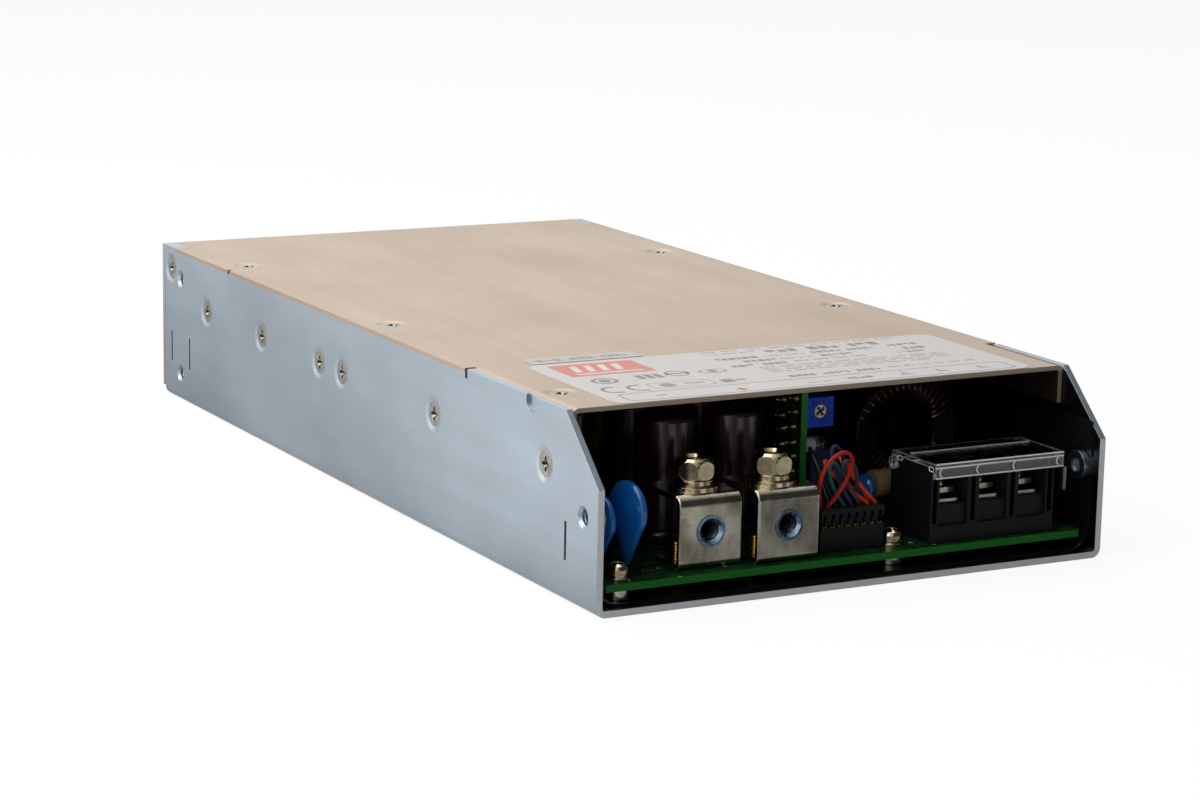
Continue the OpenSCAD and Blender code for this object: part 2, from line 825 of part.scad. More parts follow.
// The strip in section: Y to the back, Z up, bent widely at the top of its front and tightly at its foot
module lug_outline(grow, depth) {
    top_r = lug_bend_r - grow;
    foot_r = lug_foot_r - grow;
    h = lug_h - 2 * grow;
    translate([grow, grow]) {
        translate([top_r, foot_r]) square([depth - top_r, h - foot_r]);
        translate([foot_r, 0]) square([depth - foot_r, foot_r + thin]);
        translate([0, foot_r]) square([depth, h - foot_r - top_r]);
        translate([foot_r, foot_r]) circle(r = foot_r);
        translate([top_r, h - top_r]) circle(r = top_r);
    }
}

module lug() {
    difference() {
        translate([-lug_w / 2, 0, 0]) rotate([90, 0, 90]) linear_extrude(height = lug_w) difference() {
            lug_outline(0, lug_d);
            lug_outline(lug_t, lug_d + 1);
            translate([lug_foot_d, -1]) square([lug_d, lug_h / 2]);
        }
        translate([0, -1, nut_z - board_top]) rotate([-90, 0, 0]) cylinder(r = nut_r, h = lug_t + 2);
        translate([bolt_dx, bolt_back, lug_h / 2]) cylinder(r = nut_r, h = lug_h);
        translate([stud_dx, stud_back, -1]) cylinder(r = m3_r, h = lug_t + 2);
        // Round corners of the free end of the top
        for (s = [-1, 1]) translate([s * lug_w / 2, lug_d, lug_h / 2]) difference() {
            translate([-2, -2, 0]) cube([4, 4, lug_h]);
            translate([-s * 2, -2, -1]) cylinder(r = 2, h = lug_h + 2);
        }
    }
}

module minus_lug() {
    color("silver") translate([lug_xs[0], lug_fronts[0], board_top]) lug();
}

module plus_lug() {
    color("silver") translate([lug_xs[1], lug_fronts[1], board_top]) lug();
}

// A clinch nut with its collar on Z = 0, its barrel downwards and a chamfered thread
module clinch_nut(collar) {
    difference() {
        union() {
            translate([0, 0, -nut_l]) cylinder(r = nut_r, h = nut_l);
            if (collar) cylinder(r = nut_r + 0.4, h = 0.25);
        }
        translate([0, 0, -nut_l - 1]) cylinder(r = m5_r, h = nut_l + 3);
        if (collar) translate([0, 0, 0.25 - 0.7]) cylinder(r1 = m5_r, r2 = m5_r + 0.7, h = 0.7 + thin);
    }
}

module clinch_nuts() {
    color("lightblue") at_lugs() {
        translate([0, 0, nut_z - board_top]) rotate([90, 0, 0]) clinch_nut(true);
        translate([bolt_dx, bolt_back, lug_h]) clinch_nut(false);
    }
}

module lug_flat_washers() {
    color("khaki") at_lugs() translate([bolt_dx, bolt_back, lug_h]) ring(lug_washer_r, m5_r + 0.3, lug_washer_t);
}

module lug_spring_washers() {
    color("khaki") at_lugs() translate([bolt_dx, bolt_back, lug_h + lug_washer_t]) difference() {
        ring(lug_spring_r, m5_r + 0.3, lug_spring_t);
        rotate(25) translate([0, -0.4, -1]) cube([lug_spring_r + 1, 0.8, lug_spring_t + 2]);
    }
}

module lug_bolts() {
    corner_r = bolt_flats / sqrt(3);
    color("khaki") at_lugs() translate([bolt_dx, bolt_back, lug_h + lug_washer_t + lug_spring_t]) {
        difference() {
            intersection() {
                rotate(12) cylinder(r = corner_r, h = bolt_head_h, $fn = 6);
                rotate_extrude() polygon([
                    [0, 0], [corner_r - 0.55, 0], [corner_r - 0.2, 0.5], [corner_r, 1.3], [corner_r, bolt_head_h - 2.1],
                    [corner_r - 0.15, bolt_head_h - 1.4], [corner_r - 0.6, bolt_head_h - 0.6],
                    [corner_r - 1.05, bolt_head_h - 0.1], [corner_r - 1.3, bolt_head_h], [0, bolt_head_h]
                ]);
            }
            translate([0, 0, bolt_head_h - 0.7]) cylinder(r1 = 1.9, r2 = 2.6, h = 0.7 + thin);
            translate([0, 0, bolt_head_h - 0.7]) cross_recess(3.2, 1.8);
        }
        translate([0, 0, -bolt_l]) cylinder(r = m5_r, h = bolt_l + thin);
    }
}

module lug_studs() {
    reach = lug_t + 3.8;
    color("gold") at_lugs() translate([stud_dx, stud_back, -board_t - 1.2]) {
        cylinder(r = m3_r, h = 1.2 + board_t + reach);
        cylinder(r = 2.6, h = 1.2);
    }
}

// ---- Mains terminal block ----

block_x = block_left + block_w / 2;
block_back = block_front + block_d;

// Left edge of a bay
function bay_x(i) = block_left + block_end + i * way_pitch;

module terminal_block() {
    color("#1c1c1e") difference() {
        span([block_left, block_front, board_top], [block_left + block_w, block_back, block_top]);
        for (i = [0 : ways - 1]) {
            span([bay_x(i), block_front - 1, bay_floor], [bay_x(i) + bay_w, block_back - bay_back, block_top + 1]);
            span([bay_x(i), block_front - 1, board_top + sill_h], [bay_x(i) + bay_w, block_front + 0.8, block_top]);
            translate([bay_x(i) + bay_w / 2, screw_y, board_top + 2]) cylinder(r = term_r, h = block_h);
        }
        for (i = [0 : ways]) {
            x = i == 0 ? block_left + block_end / 2 : i == ways ? block_left + block_w - block_end / 2
                : bay_x(i) - bay_side / 2;
            span([x - groove_w / 2, block_front - 1, board_top + sill_h + 0.6],
                 [x + groove_w / 2, block_front + groove_d, block_top + 1]);
        }
        // The back edge is round about the hinge, so that the cover can swing over it
        difference() {
            span([block_left - 1, hinge_y, hinge_z], [block_left + block_w + 1, block_back + 1, block_top + 1]);
            translate([block_left - 2, hinge_y, hinge_z]) rotate([0, 90, 0]) cylinder(r = hinge_r, h = block_w + 4);
        }
        for (s = [0, 1]) translate([s * (block_w - arm_in - arm_gap), 0, 0]) span(
            [block_left - (1 - s), hinge_y - arm_r - 0.4, hinge_z - arm_r - 0.4],
            [block_left + arm_in + arm_gap + s, block_back + 1, block_top + 1]);
        translate([block_left - 1, hinge_y, hinge_z]) rotate([0, 90, 0])
            cylinder(r = flap_pin_r + hinge_clear, h = 1 + arm_in + arm_gap + pin_l + 0.1);
        translate([block_left + block_w + 1, hinge_y, hinge_z]) rotate([0, -90, 0])
            cylinder(r = flap_pin_r + hinge_clear, h = 1 + arm_in + arm_gap + pin_l + 0.1);
    }
}

module at_ways() {
    for (i = [0 : ways - 1]) translate([bay_x(i) + bay_w / 2, screw_y, plate_z]) children();
}

module terminal_plates() {
    color("white") at_ways() difference() {
        span([-plate_w / 2, block_front + plate_front - screw_y, -plate_t],
             [plate_w / 2, block_back - bay_back - screw_y, 0]);
        translate([0, 0, -2]) cylinder(r = term_r, h = 4);
    }
}

// Square clamp washers with a raised rib at each side
module terminal_washers() {
    w = plate_w;
    color("gainsboro") at_ways() translate([0, 0, washer_lift]) difference() {
        union() {
            translate([-w / 2, -3.4, 0]) cube([w, 6.8, clamp_t]);
            for (y = [-3.4, 2.9]) translate([-w / 2, y, 0]) cube([w, 0.5, 1.2]);
        }
        translate([0, 0, -1]) cylinder(r = term_r, h = 4);
    }
}

module terminal_screws() {
    color("khaki") at_ways() translate([0, 0, washer_lift + clamp_t])
        pan_screw(term_r, term_head_r, term_head_h, washer_lift + 5.5);
}

// Clear cover: a flat plate with a front lip, a ridge, and two arms with hinge pins
module terminal_cover() {
    z = block_top + flap_gap;
    y = block_front - flap_over;
    left = block_left - flap_side;
    w = block_w + 2 * flap_side;
    color("aliceblue", 0.5) {
        span([left, y, z], [left + w, hinge_y + 0.2, z + flap_t]);
        span([left, y, z + flap_t - flap_lip], [left + w, y + flap_t, z + thin]);
        span([left + 1.5, block_front + 9, z + flap_t - thin], [left + w - 1.5, block_front + 9.7, z + flap_t + 0.3]);
        for (s = [0, 1]) translate([s * (w - arm_t), 0, 0]) {
            span([left, hinge_y - arm_r, hinge_z], [left + arm_t, hinge_y + 0.2, z + thin]);
            translate([left, hinge_y, hinge_z]) rotate([0, 90, 0]) cylinder(r = arm_r, h = arm_t);
        }
        for (s = [0, 1]) translate([left + s * w, hinge_y, hinge_z]) rotate([0, s > 0 ? -90 : 90, 0])
            cylinder(r = flap_pin_r, h = arm_t + arm_gap + pin_l);
    }
}

// ---- Control board with trimmer and lamp ----

module control_board() {
    color("forestgreen") {
        span([ctrl_x - board_t / 2, ctrl_front, board_top + 0.8], [ctrl_x + board_t / 2, ctrl_front + ctrl_l, ctrl_top]);
        for (y = [4, ctrl_l - 10]) span([ctrl_x - board_t / 2, ctrl_front + y, board_top],
                                        [ctrl_x + board_t / 2, ctrl_front + y + 6, board_top + 1]);
    }
}

trim_x = ctrl_face + trim_w / 2;
rotor_z = trim_z + trim_w / 2 + 0.2;

module trimmer_body() {
    color("royalblue") difference() {
        span([ctrl_face, ctrl_front, trim_z], [ctrl_face + trim_w, ctrl_front + trim_d, trim_z + trim_w]);
        translate([trim_x, ctrl_front - 1, rotor_z]) rotate([-90, 0, 0])
            cylinder(r = rotor_r + rotor_clear, h = 1 + rotor_d + 0.05);
        translate([ctrl_face + 1.3, ctrl_front - 1, trim_z + trim_w - 1]) rotate([-90, 0, 0]) cylinder(r = 0.3, h = 1.3);
    }
}

module trimmer_rotor() {
    color("lightgray") translate([trim_x, ctrl_front, rotor_z]) rotate([90, 0, 0]) difference() {
        translate([0, 0, -rotor_d]) cylinder(r = rotor_r, h = rotor_d - 0.1);
        for (a = [45, 135]) rotate(a) translate([-rotor_r * 0.86, -0.22, -0.9]) cube([rotor_r * 1.72, 0.44, 1]);
    }
}

module led_spacer() {
    color("white", 0.8) translate([ctrl_face, led_y, led_z]) rotate([0, 90, 0]) {
        cylinder(r = led_spacer_r, h = led_spacer_l * 0.5);
        cylinder(r = led_spacer_r - 0.35, h = led_spacer_l);
    }
}

module led() {
    color("aliceblue", 0.7) translate([ctrl_face + led_spacer_l, led_y, led_z]) rotate([0, 90, 0]) {
        cylinder(r = led_r + 0.25, h = 0.8);
        cylinder(r = led_r, h = led_l - led_r);
        translate([0, 0, led_l - led_r]) sphere(r = led_r);
    }
}

// ---- Header, plug and the wire loops held in the plug ----

module pin_header() {
    w = plug_w + 2 * header_wall + 0.2;
    color("#1c1c1e") difference() {
        span([plug_x - w / 2, plug_front - header_wall, board_top],
             [plug_x + w / 2, plug_front + plug_d + header_wall + 0.2, board_top + header_h]);
        span([plug_x - plug_w / 2 - 0.1, plug_front, board_top + 1.4],
             [plug_x + plug_w / 2 + 0.1, plug_front + plug_d + 0.2, board_top + header_h + 1]);
    }
}

module jumper_plug() {
    color("#242427") difference() {
        union() {
            span([plug_x - plug_w / 2, plug_front + 0.1, board_top + 1.4],
                 [plug_x + plug_w / 2, plug_front + plug_d + 0.1, plug_top]);
            span([plug_x - plug_w / 2 - plug_over, plug_front - 0.6, plug_top - plug_rim],
                 [plug_x + plug_w / 2 + plug_over, plug_front + plug_d + 0.6, plug_top]);
        }
        for (i = [0 : plug_pins - 1]) {
            x = plug_x + (i - (plug_pins - 1) / 2) * plug_pitch;
            span([x - 0.4, plug_front - 2, plug_top - 4.2], [x + 0.4, plug_front + 0.6, plug_top - 1.1]);
            for (y = row_y) span([x - 0.7, y - 0.7, plug_top - pin_hole], [x + 0.7, y + 0.7, plug_top + 1]);
        }
    }
}

function pin_x(i) = plug_x + (i - (plug_pins - 1) / 2) * plug_pitch;

// A cubic curve from a to b that leaves and arrives along the two pulls
function curve(a, b, pull_a, pull_b, t) =
    pow(1 - t, 3) * a + 3 * pow(1 - t, 2) * t * (a + pull_a) + 3 * (1 - t) * t * t * (b + pull_b) + t * t * t * b;

function unit(v) = v / norm(v);

// A round tube swept along a list of points; side is a direction that is never along it
module tube(points, r, side, sides = wire_sides) {
    last = len(points) - 1;
    rings = [for (i = [0 : last])
        let (
            along = unit(points[min(i + 1, last)] - points[max(i - 1, 0)]),
            u = unit(cross(along, side)),
            v = cross(u, along)
        )
        for (k = [0 : sides - 1]) points[i] + r * (cos(360 * k / sides) * u + sin(360 * k / sides) * v)];
    walls = [for (i = [0 : last - 1], k = [0 : sides - 1])
        let (next = (k + 1) % sides)
        [i * sides + k, i * sides + next, (i + 1) * sides + next, (i + 1) * sides + k]];
    ends = [[for (k = [sides - 1 : -1 : 0]) k], [for (k = [0 : sides - 1]) last * sides + k]];
    polyhedron(rings, concat(walls, ends));
}

// A loop of wire from one hole of the plug to another: [hole, row], and its two pulls. It stands
// straight in both holes
module wire_loop(from, to, pull_a, pull_b) {
    a = [pin_x(from[0]), row_y[from[1]], plug_top + 0.15];
    b = [pin_x(to[0]), row_y[to[1]], plug_top + 0.15];
    drop = [0, 0, -pin_hole - 0.15];
    points = concat([a + drop], [for (i = [0 : wire_steps]) curve(a, b, pull_a, pull_b, i / wire_steps)], [b + drop]);
    across = cross(pull_a, pull_b);
    tube(points, wire_r, norm(across) > 1 ? across : [0, 1, 0]);
}

module wire_red() {
    color("red") wire_loop([0, 0], [1, 0], [-8, -7.4, 17.2], [12, -5.2, 17.2]);
}

module wire_black() {
    color("#222222") wire_loop([2, 0], [2, 1], [-7, 3.1, 14.8], [2.2, 15.4, 14.8]);
}

module wire_teal() {
    color("teal") wire_loop([3, 0], [3, 1], [-10, 0, 13], [1, -5.2, 13]);
}

module wire_purple() {
    color("purple") wire_loop([4, 0], [4, 1], [-11.5, 1.5, 17.3], [0.6, -2.6, 17.3]);
}

module wire_grey() {
    color("gray") wire_loop([5, 0], [5, 1], [-11.5, 0, 13.5], [-0.2, -8, 13.5]);
}

module wire_orange() {
    color("orangered") {
        wire_loop([6, 0], [6, 1], [-12.8, 4.5, 9], [-10.6, 1.7, 15]);
        wire_loop([7, 0], [7, 1], [-12, 3.9, 13], [-4.3, 7, 13]);
    }
}

// ---- Capacitors, chokes, transformer and other parts on the main board ----

// A round ceramic capacitor on edge, facing X, with a neck down to the board
module disc_capacitor(r, t, up) {
    translate([0, 0, up + r]) rotate([0, 90, 0]) rotate_extrude() {
        translate([0, -t / 2]) square([r - t / 2, t]);
        intersection() {
            translate([r - t / 2, 0]) circle(r = t / 2);
            translate([0, -t]) square([r, 2 * t]);
        }
    }
    cylinder(r1 = 0.8, r2 = 1.5, h = up + 1);
}

module disc_capacitors() {
    color("dodgerblue") for (d = disc_places) translate([d[0], front + d[1], board_top])
        disc_capacitor(d[3], d[4], d[2]);
}

// A can standing on the board, with a rolled edge and a shallow top
module can(r, h) {
    rotate_extrude() difference() {
        union() {
            square([r - 0.8, h]);
            square([r, h - 0.8]);
            translate([r - 0.8, h - 0.8]) circle(r = 0.8);
        }
        translate([-1, h - 0.4]) square([r - 0.2, 1]);
        translate([-r, -1]) square([r, h + 2]);
        translate([r + 0.25, 2.6]) circle(r = 0.9);
    }
}

module output_capacitors() {
    color("#5a2026") for (p = output_cap_grid)
        translate([output_cap_x + p[0] * output_cap_dx, front + output_cap_y + p[1] * output_cap_dy, board_top])
            can(output_cap_r, output_cap_h);
}

module bulk_capacitors() {
    color("#26262a") for (i = [0, 1], y = bulk_y)
        translate([bulk_x + i * bulk_dx, front + y, board_top]) can(bulk_r, bulk_h);
}

module at_transformer() {
    translate([xfmr_x, front + xfmr_y, board_top]) children();
}

// Ferrite core: a frame with a middle leg, standing on the bobbin's lower flange
module transformer_core() {
    color("#3a3a3c") at_transformer() translate([0, 0, xfmr_foot]) difference() {
        translate([-core_w / 2, -core_d / 2, 0]) cube([core_w, core_d, core_h]);
        for (s = [-1, 1]) translate([s * (core_leg / 2 + core_win / 2), 0, core_h / 2])
            cube([core_win, core_d + 2, core_h - 2 * core_yoke], center = true);
    }
}

module transformer_bobbin() {
    z = xfmr_foot + core_yoke;
    h = core_h - 2 * core_yoke;
    w = core_leg + 2 * core_win - 0.6;
    d = core_d + 2 * core_win - 0.6;
    color("#2b2b2b") at_transformer() {
        difference() {
            union() {
                translate([-w / 2, -d / 2, z]) cube([w, d, bobbin_t]);
                translate([-w / 2, -d / 2, z + h - bobbin_t]) cube([w, d, bobbin_t]);
                translate([-core_leg / 2 - bobbin_t, -core_d / 2 - bobbin_t, z])
                    cube([core_leg + 2 * bobbin_t, core_d + 2 * bobbin_t, h]);
            }
            translate([-core_leg / 2, -core_d / 2, z - 1]) cube([core_leg, core_d, h + 2]);
        }
        // Pin rails at both ends, down to the board
        for (s = [-1, 1]) translate([-w / 2, s * (d / 2 - 2) - 2, 0]) cube([w, 4, z + thin]);
    }
}

module transformer_winding() {
    z = xfmr_foot + core_yoke + bobbin_t;
    h = core_h - 2 * core_yoke - 2 * bobbin_t;
    color("goldenrod") at_transformer() translate([0, 0, z]) difference() {
        round_plate(core_leg + 2 * core_win - 1.4, core_d + 2 * core_win - 1.4, h, 3);
        translate([-core_leg / 2 - bobbin_t, -core_d / 2 - bobbin_t, -1])
            cube([core_leg + 2 * bobbin_t, core_d + 2 * bobbin_t, h + 2]);
    }
}

// A ring core about Z, with round edges
module ring_core(outer, inner, h) {
    rotate_extrude() translate([(outer + inner) / 2, 0]) round_rect(outer - inner, h, 0.8);
}

// Turns of wire round a ring core: one closed loop a turn, spread over one or two arcs
module turns(outer, inner, h, wire, count, arcs, arc) {
    w = outer - inner;
    for (k = [0 : arcs - 1], i = [0 : count - 1])
        rotate(k * 360 / arcs + (i - (count - 1) / 2) * arc / (count - 1))
            translate([(outer + inner) / 2, 0, 0]) rotate([90, 0, 0])
                linear_extrude(height = wire, center = true) difference() {
                    round_rect(w + 2 * wire, h + 2 * wire, wire);
                    round_rect(w, h, 0.8);
                }
}

module at_line_choke() {
    translate([choke_x, front + choke_y, board_top + choke_r + choke_wire]) rotate([90, 0, 0]) children();
}

module line_choke_core() {
    color("#2c4a3a") at_line_choke() ring_core(choke_r, choke_in, choke_h);
}

module line_choke_winding() {
    color("peru") at_line_choke() turns(choke_r, choke_in, choke_h, choke_wire, 10, 2, 142);
}

module at_output_choke() {
    translate([out_choke_x, front + out_choke_y, board_top + out_choke_h / 2 + out_choke_wire]) children();
}

module output_choke_core() {
    color("khaki") at_output_choke() ring_core(out_choke_r, out_choke_in, out_choke_h);
}

module output_choke_winding() {
    color("peru") at_output_choke() turns(out_choke_r, out_choke_in, out_choke_h, out_choke_wire, 14, 1, 325);
}

module box_capacitors() {
    color("midnightblue") for (b = boxes) translate([b[0] * stretch_x, front + far(b[1]), board_top])
        linear_extrude(height = b[4]) round_rect(b[2] * fit, b[3] * fit, 0.8);
}

// Fuse in a sleeve, held off the board by its leads
module line_fuse() {
    reach = fuse_l / 2 + 1.2;
    color("tan") translate([fuse_x, front + fuse_y, fuse_z]) {
        translate([-fuse_l / 2, 0, 0]) rotate([0, 90, 0]) cylinder(r = fuse_r, h = fuse_l);
        for (s = [-1, 1]) {
            rotate([0, s * 90, 0]) cylinder(r = 0.4, h = reach + 0.4);
            translate([s * reach, 0, board_top - fuse_z]) cylinder(r = 0.4, h = fuse_z - board_top);
        }
    }
}

module relay() {
    color("#20304a") translate([relay_x, front + relay_y, board_top])
        linear_extrude(height = relay_h) round_rect(relay_w, relay_l, 1);
}

// ---- Fan ----

// The countersunk seat of a fan screw, from the outer face on Z = 0
module fan_screw_seat() {
    head_seat(m3_r, fan_head_r, fan_head_h);
    translate([0, 0, -fan_screw_l]) cylinder(r = m3_r, h = fan_screw_l);
}

module at_fan_screws() {
    for (x = [-1, 1], z = [-1, 1]) translate([x * fan_hole, half_l, fan_z + z * fan_hole])
        rotate([-90, 0, 0]) children();
}

// Square frame with a round duct, struts and a motor seat at the front, and a bearing tube
module fan_frame() {
    color("#222224") difference() {
        union() {
            difference() {
                translate([0, fan_front, fan_z]) rotate([-90, 0, 0]) round_plate(fan_side, fan_side, fan_d, 2.5);
                translate([0, fan_front - 1, fan_z]) rotate([-90, 0, 0]) cylinder(r = fan_bore_r, h = fan_d + 2);
                // Waist between the two flanges
                for (a = [0 : 90 : 270]) translate([0, fan_front + fan_d / 2, fan_z]) rotate([0, a, 0])
                    translate([fan_side / 2 - 0.6, -fan_d / 2 + fan_flange, -fan_side / 2 + 7])
                        cube([1, fan_d - 2 * fan_flange, fan_side - 14]);
            }
            translate([0, fan_front, fan_z]) rotate([-90, 0, 0]) {
                cylinder(r = fan_hub_r, h = 1.6);
                cylinder(r = fan_tube_r, h = fan_d - 6);
                for (a = [45 : 90 : 315]) rotate(a) translate([fan_hub_r - 0.5, -1.2, 0])
                    cube([fan_bore_r + 1 - fan_hub_r, 2.4, 2.2]);
            }
        }
        translate([0, fan_front + 1.6, fan_z]) rotate([-90, 0, 0])
            cylinder(r = fan_shaft_r + rotor_clear, h = fan_d);
        at_fan_screws() translate([0, 0, -fan_screw_l]) cylinder(r = m3_r, h = fan_screw_l);
    }
}

module fan_stator() {
    color("peru") translate([0, fan_front + 1.6, fan_z]) rotate([-90, 0, 0]) ring(fan_hub_r - 2, fan_tube_r, 12);
}

// Hub cup with its shaft, and twisted blades
module fan_rotor() {
    cup_front = fan_front + 3.4;
    cup_l = fan_d - 5.4;
    color("#2a2a2d") translate([0, cup_front, fan_z]) rotate([-90, 0, 0]) {
        difference() {
            cylinder(r = fan_hub_r, h = cup_l);
            translate([0, 0, -1]) cylinder(r = fan_hub_r - 1.4, h = cup_l - 0.6);
        }
        translate([0, 0, 0.6]) cylinder(r = fan_shaft_r, h = cup_l - 1);
        for (i = [0 : blades - 1]) rotate(i * 360 / blades) translate([0, 0, 2.5])
            linear_extrude(height = cup_l - 5, twist = -46, slices = 5)
                translate([fan_hub_r - 0.6, -0.6]) square([fan_bore_r - fan_gap - fan_hub_r + 0.6, 1.2]);
    }
}

module fan_screws() {
    color("gainsboro") at_fan_screws() flat_screw(fan_screw_l, fan_head_r, fan_head_h);
}

// Two wires from the fan's frame to a small connector on the board
module fan_lead() {
    color("firebrick") {
        for (i = [0, 1]) {
            shift = [i * 1.6, 0, 0];
            tube([for (p = lead_route) p + shift], lead_r, [1, 0, 0]);
        }
        span([lead_x - 2.4, lead_y - 2, board_top], [lead_x + 4, lead_y + 2, lead_plug_z]);
    }
}

chassis();
lid();
rating_label();
strip_sticker();
insulating_film();
main_board();
standoffs();
board_screws();
board_washers();
output_heat_bar();
input_heat_bar();
right_heat_bar();
power_transistors();
transistor_clips();
side_screws();
lid_screws();
terminal_block();
terminal_plates();
terminal_washers();
terminal_screws();
terminal_cover();
minus_lug();
plus_lug();
clinch_nuts();
lug_bolts();
lug_spring_washers();
lug_flat_washers();
lug_studs();
disc_capacitors();
output_capacitors();
bulk_capacitors();
transformer_core();
transformer_bobbin();
transformer_winding();
line_choke_core();
line_choke_winding();
output_choke_core();
output_choke_winding();
control_board();
trimmer_body();
trimmer_rotor();
led_spacer();
led();
pin_header();
jumper_plug();
wire_red();
wire_black();
wire_teal();
wire_purple();
wire_grey();
wire_orange();
box_capacitors();
line_fuse();
relay();
bridge_rectifier();
fan_frame();
fan_stator();
fan_rotor();
fan_screws();
fan_lead();
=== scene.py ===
import math

import bmesh
import bpy
import numpy as np
from bpy.props import FloatProperty, FloatVectorProperty, IntProperty, PointerProperty
from mathutils import Matrix, Vector


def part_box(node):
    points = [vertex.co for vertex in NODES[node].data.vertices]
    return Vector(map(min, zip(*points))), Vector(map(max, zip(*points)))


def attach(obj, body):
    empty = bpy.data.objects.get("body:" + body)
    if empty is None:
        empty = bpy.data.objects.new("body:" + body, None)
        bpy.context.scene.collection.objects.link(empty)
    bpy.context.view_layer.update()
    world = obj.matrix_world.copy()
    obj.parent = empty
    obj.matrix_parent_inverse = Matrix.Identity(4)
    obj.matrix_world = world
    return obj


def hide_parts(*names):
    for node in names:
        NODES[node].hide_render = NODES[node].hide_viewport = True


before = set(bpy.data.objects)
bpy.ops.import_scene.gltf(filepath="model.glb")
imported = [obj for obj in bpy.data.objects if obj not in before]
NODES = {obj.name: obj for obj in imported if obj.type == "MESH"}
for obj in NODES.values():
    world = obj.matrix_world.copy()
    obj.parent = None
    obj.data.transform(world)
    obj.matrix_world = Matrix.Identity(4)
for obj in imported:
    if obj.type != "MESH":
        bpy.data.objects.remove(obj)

bl_info = {
    "name": "Enclosed Power Supply",
    "version": (1, 0, 0),
    "blender": (4, 5, 0),
    "location": "3D View > Sidebar > Power Supply",
    "description": "Dresses the packed power supply: finishes, windings, wires, threads, label print and stage",
    "category": "Object",
}

MM = 0.001
TAU = 2 * math.pi
# The room inside the case in millimetres: half width, and the faces of the base, the top and the rear wall
ROOM = (62.02, 1.45, 39.8, 123.4)


# Threads as (radius, depth, pitch): in the walls' pressed collars, in the clinch nuts, on the brass studs
COLLAR_THREAD, NUT_THREAD, STUD_THREAD = (1.66, 0.22, 0.7), (2.12, 0.3, 0.8), (1.45, 0.26, 0.5)
# The collars' (Y, Z): the front one of each wall, then the rear ones of both, Y from the chassis's front
FRONT_COLLARS, REAR_COLLARS = ((6.5, 20), (5.5, 20.3)), ((236.7, 33.2), (237.2, 7.7))
# Where each thread starts and ends behind the wall's outer face
COLLAR_FROM, COLLAR_TO = 0.75, 3.6
# Print is this far above its film, so that the two faces don't meet
PRINT_LIFT = 0.008
# Lines of plain blocks in place of print: left, right, front, height, groups
PRINT_ROWS = (
    (-7.6, 44, 57.0, 1.0, 9), (-7.6, 5.4, 54.6, 0.9, 3), (7.6, 37.7, 52.0, 3.3, 3), (-8, 3, 48.2, 2.0, 1),
    (4.4, 15, 48.6, 1.0, 2), (17, 34, 48.2, 1.8, 2), (37.6, 45.8, 49.0, 1.9, 1), (-3, 5.3, 44.3, 2.0, 1),
    (6.5, 15, 44.8, 1.0, 2), (17, 25.4, 44.2, 1.9, 1), (39.4, 46, 44.4, 2.2, 1), (-8.5, 5.5, 40.2, 2.1, 2),
    (8, 27, 41.2, 1.1, 4), (35.5, 42.5, 41, 1.6, 1), (-3.2, 45.2, 37.7, 0.9, 10), (-3.2, 45.2, 35.9, 0.9, 9),
    (-3.2, 45.2, 34.1, 0.9, 10), (-3.2, 38, 32.3, 0.9, 7), (-2.3, 21.8, 26.2, 2.0, 3), (24, 47, 27.4, 1.0, 6))
# Small parts on the main board as (X, distance from its front less 3), and X of the cut leads under its front edge
BOARD_CHIPS = (
    (-56.5, 24), (-53, 20.5), (-45.5, 24.5), (-36, 26), (-20, 24.5), (0.5, 18.5), (4.5, 19.5), (9, 18.8),
    (17.5, 22.5), (18.6, 15), (57, 20), (57.2, 25), (57, 30), (19, 19), (-4.5, 26), (-47, 9), (-44.5, 14))
LEAD_STUBS = (-57, -51, -39, -27, -20, -9, -2, 2, 6, 10, 26, 35, 45, 50)
# Pitch of the header's pins and their number; the plug's two rows of wires stand this far from its front
PIN_PITCH, PINS = 2, 8
WIRE_ROWS = (2.3, 5.3)
# Lamps: name, place and diameter in metres, watts
LAMPS = (("lamp_key", (-0.45, 0.0, 0.6), 1.0, 3.2), ("lamp_side", (-0.5, 0.36, 0.22), 0.4, 0.6),
         ("lamp_top", (0.1, 0.6, 1.1), 1.3, 4))
LAMPS_AIM = (0, 0, 0.02)
# Camera: lens and sensor width in millimetres, place in metres, and axes
LENS, SENSOR = 96.39, 36
CAMERA_PLACE = (-0.363899, -0.682974, 0.176826)
CAMERA_TURN = ((0.88233994, 0.07777297, -0.46414178), (-0.4701858, 0.18767672, -0.86238203),
               (0.02003859, 0.97914698, 0.20216241))


# ---- Colours and nodes ----

def linear(text):
    """Linear colour of an sRGB hex value."""
    value = [int(text[i:i + 2], 16) / 255 for i in (1, 3, 5)]
    return [c / 12.92 if c <= 0.04045 else ((c + 0.055) / 1.055) ** 2.4 for c in value]


def add(mat, kind, settings=None, values=None, links=None):
    """Adds one node: settings are its own, values go on its sockets, links bring other nodes' outputs in.
    An output is always a pair: the node, and the output's number or name."""
    made = mat.node_tree.nodes.new(kind)
    for key, value in (settings or {}).items():
        setattr(made, key, value)
    for key, value in (values or {}).items():
        made.inputs[key].default_value = value
    for key, (source, out) in (links or {}).items():
        mat.node_tree.links.new(source.outputs[out], made.inputs[key])
    return made


def calc(mat, operation, *inputs, clamp=False):
    """The output of a Math node; each input is a number or an output."""
    links = {i: value for i, value in enumerate(inputs) if isinstance(value, tuple)}
    values = {i: value for i, value in enumerate(inputs) if not isinstance(value, tuple)}
    return add(mat, "ShaderNodeMath", {"operation": operation, "use_clamp": clamp}, values, links), 0


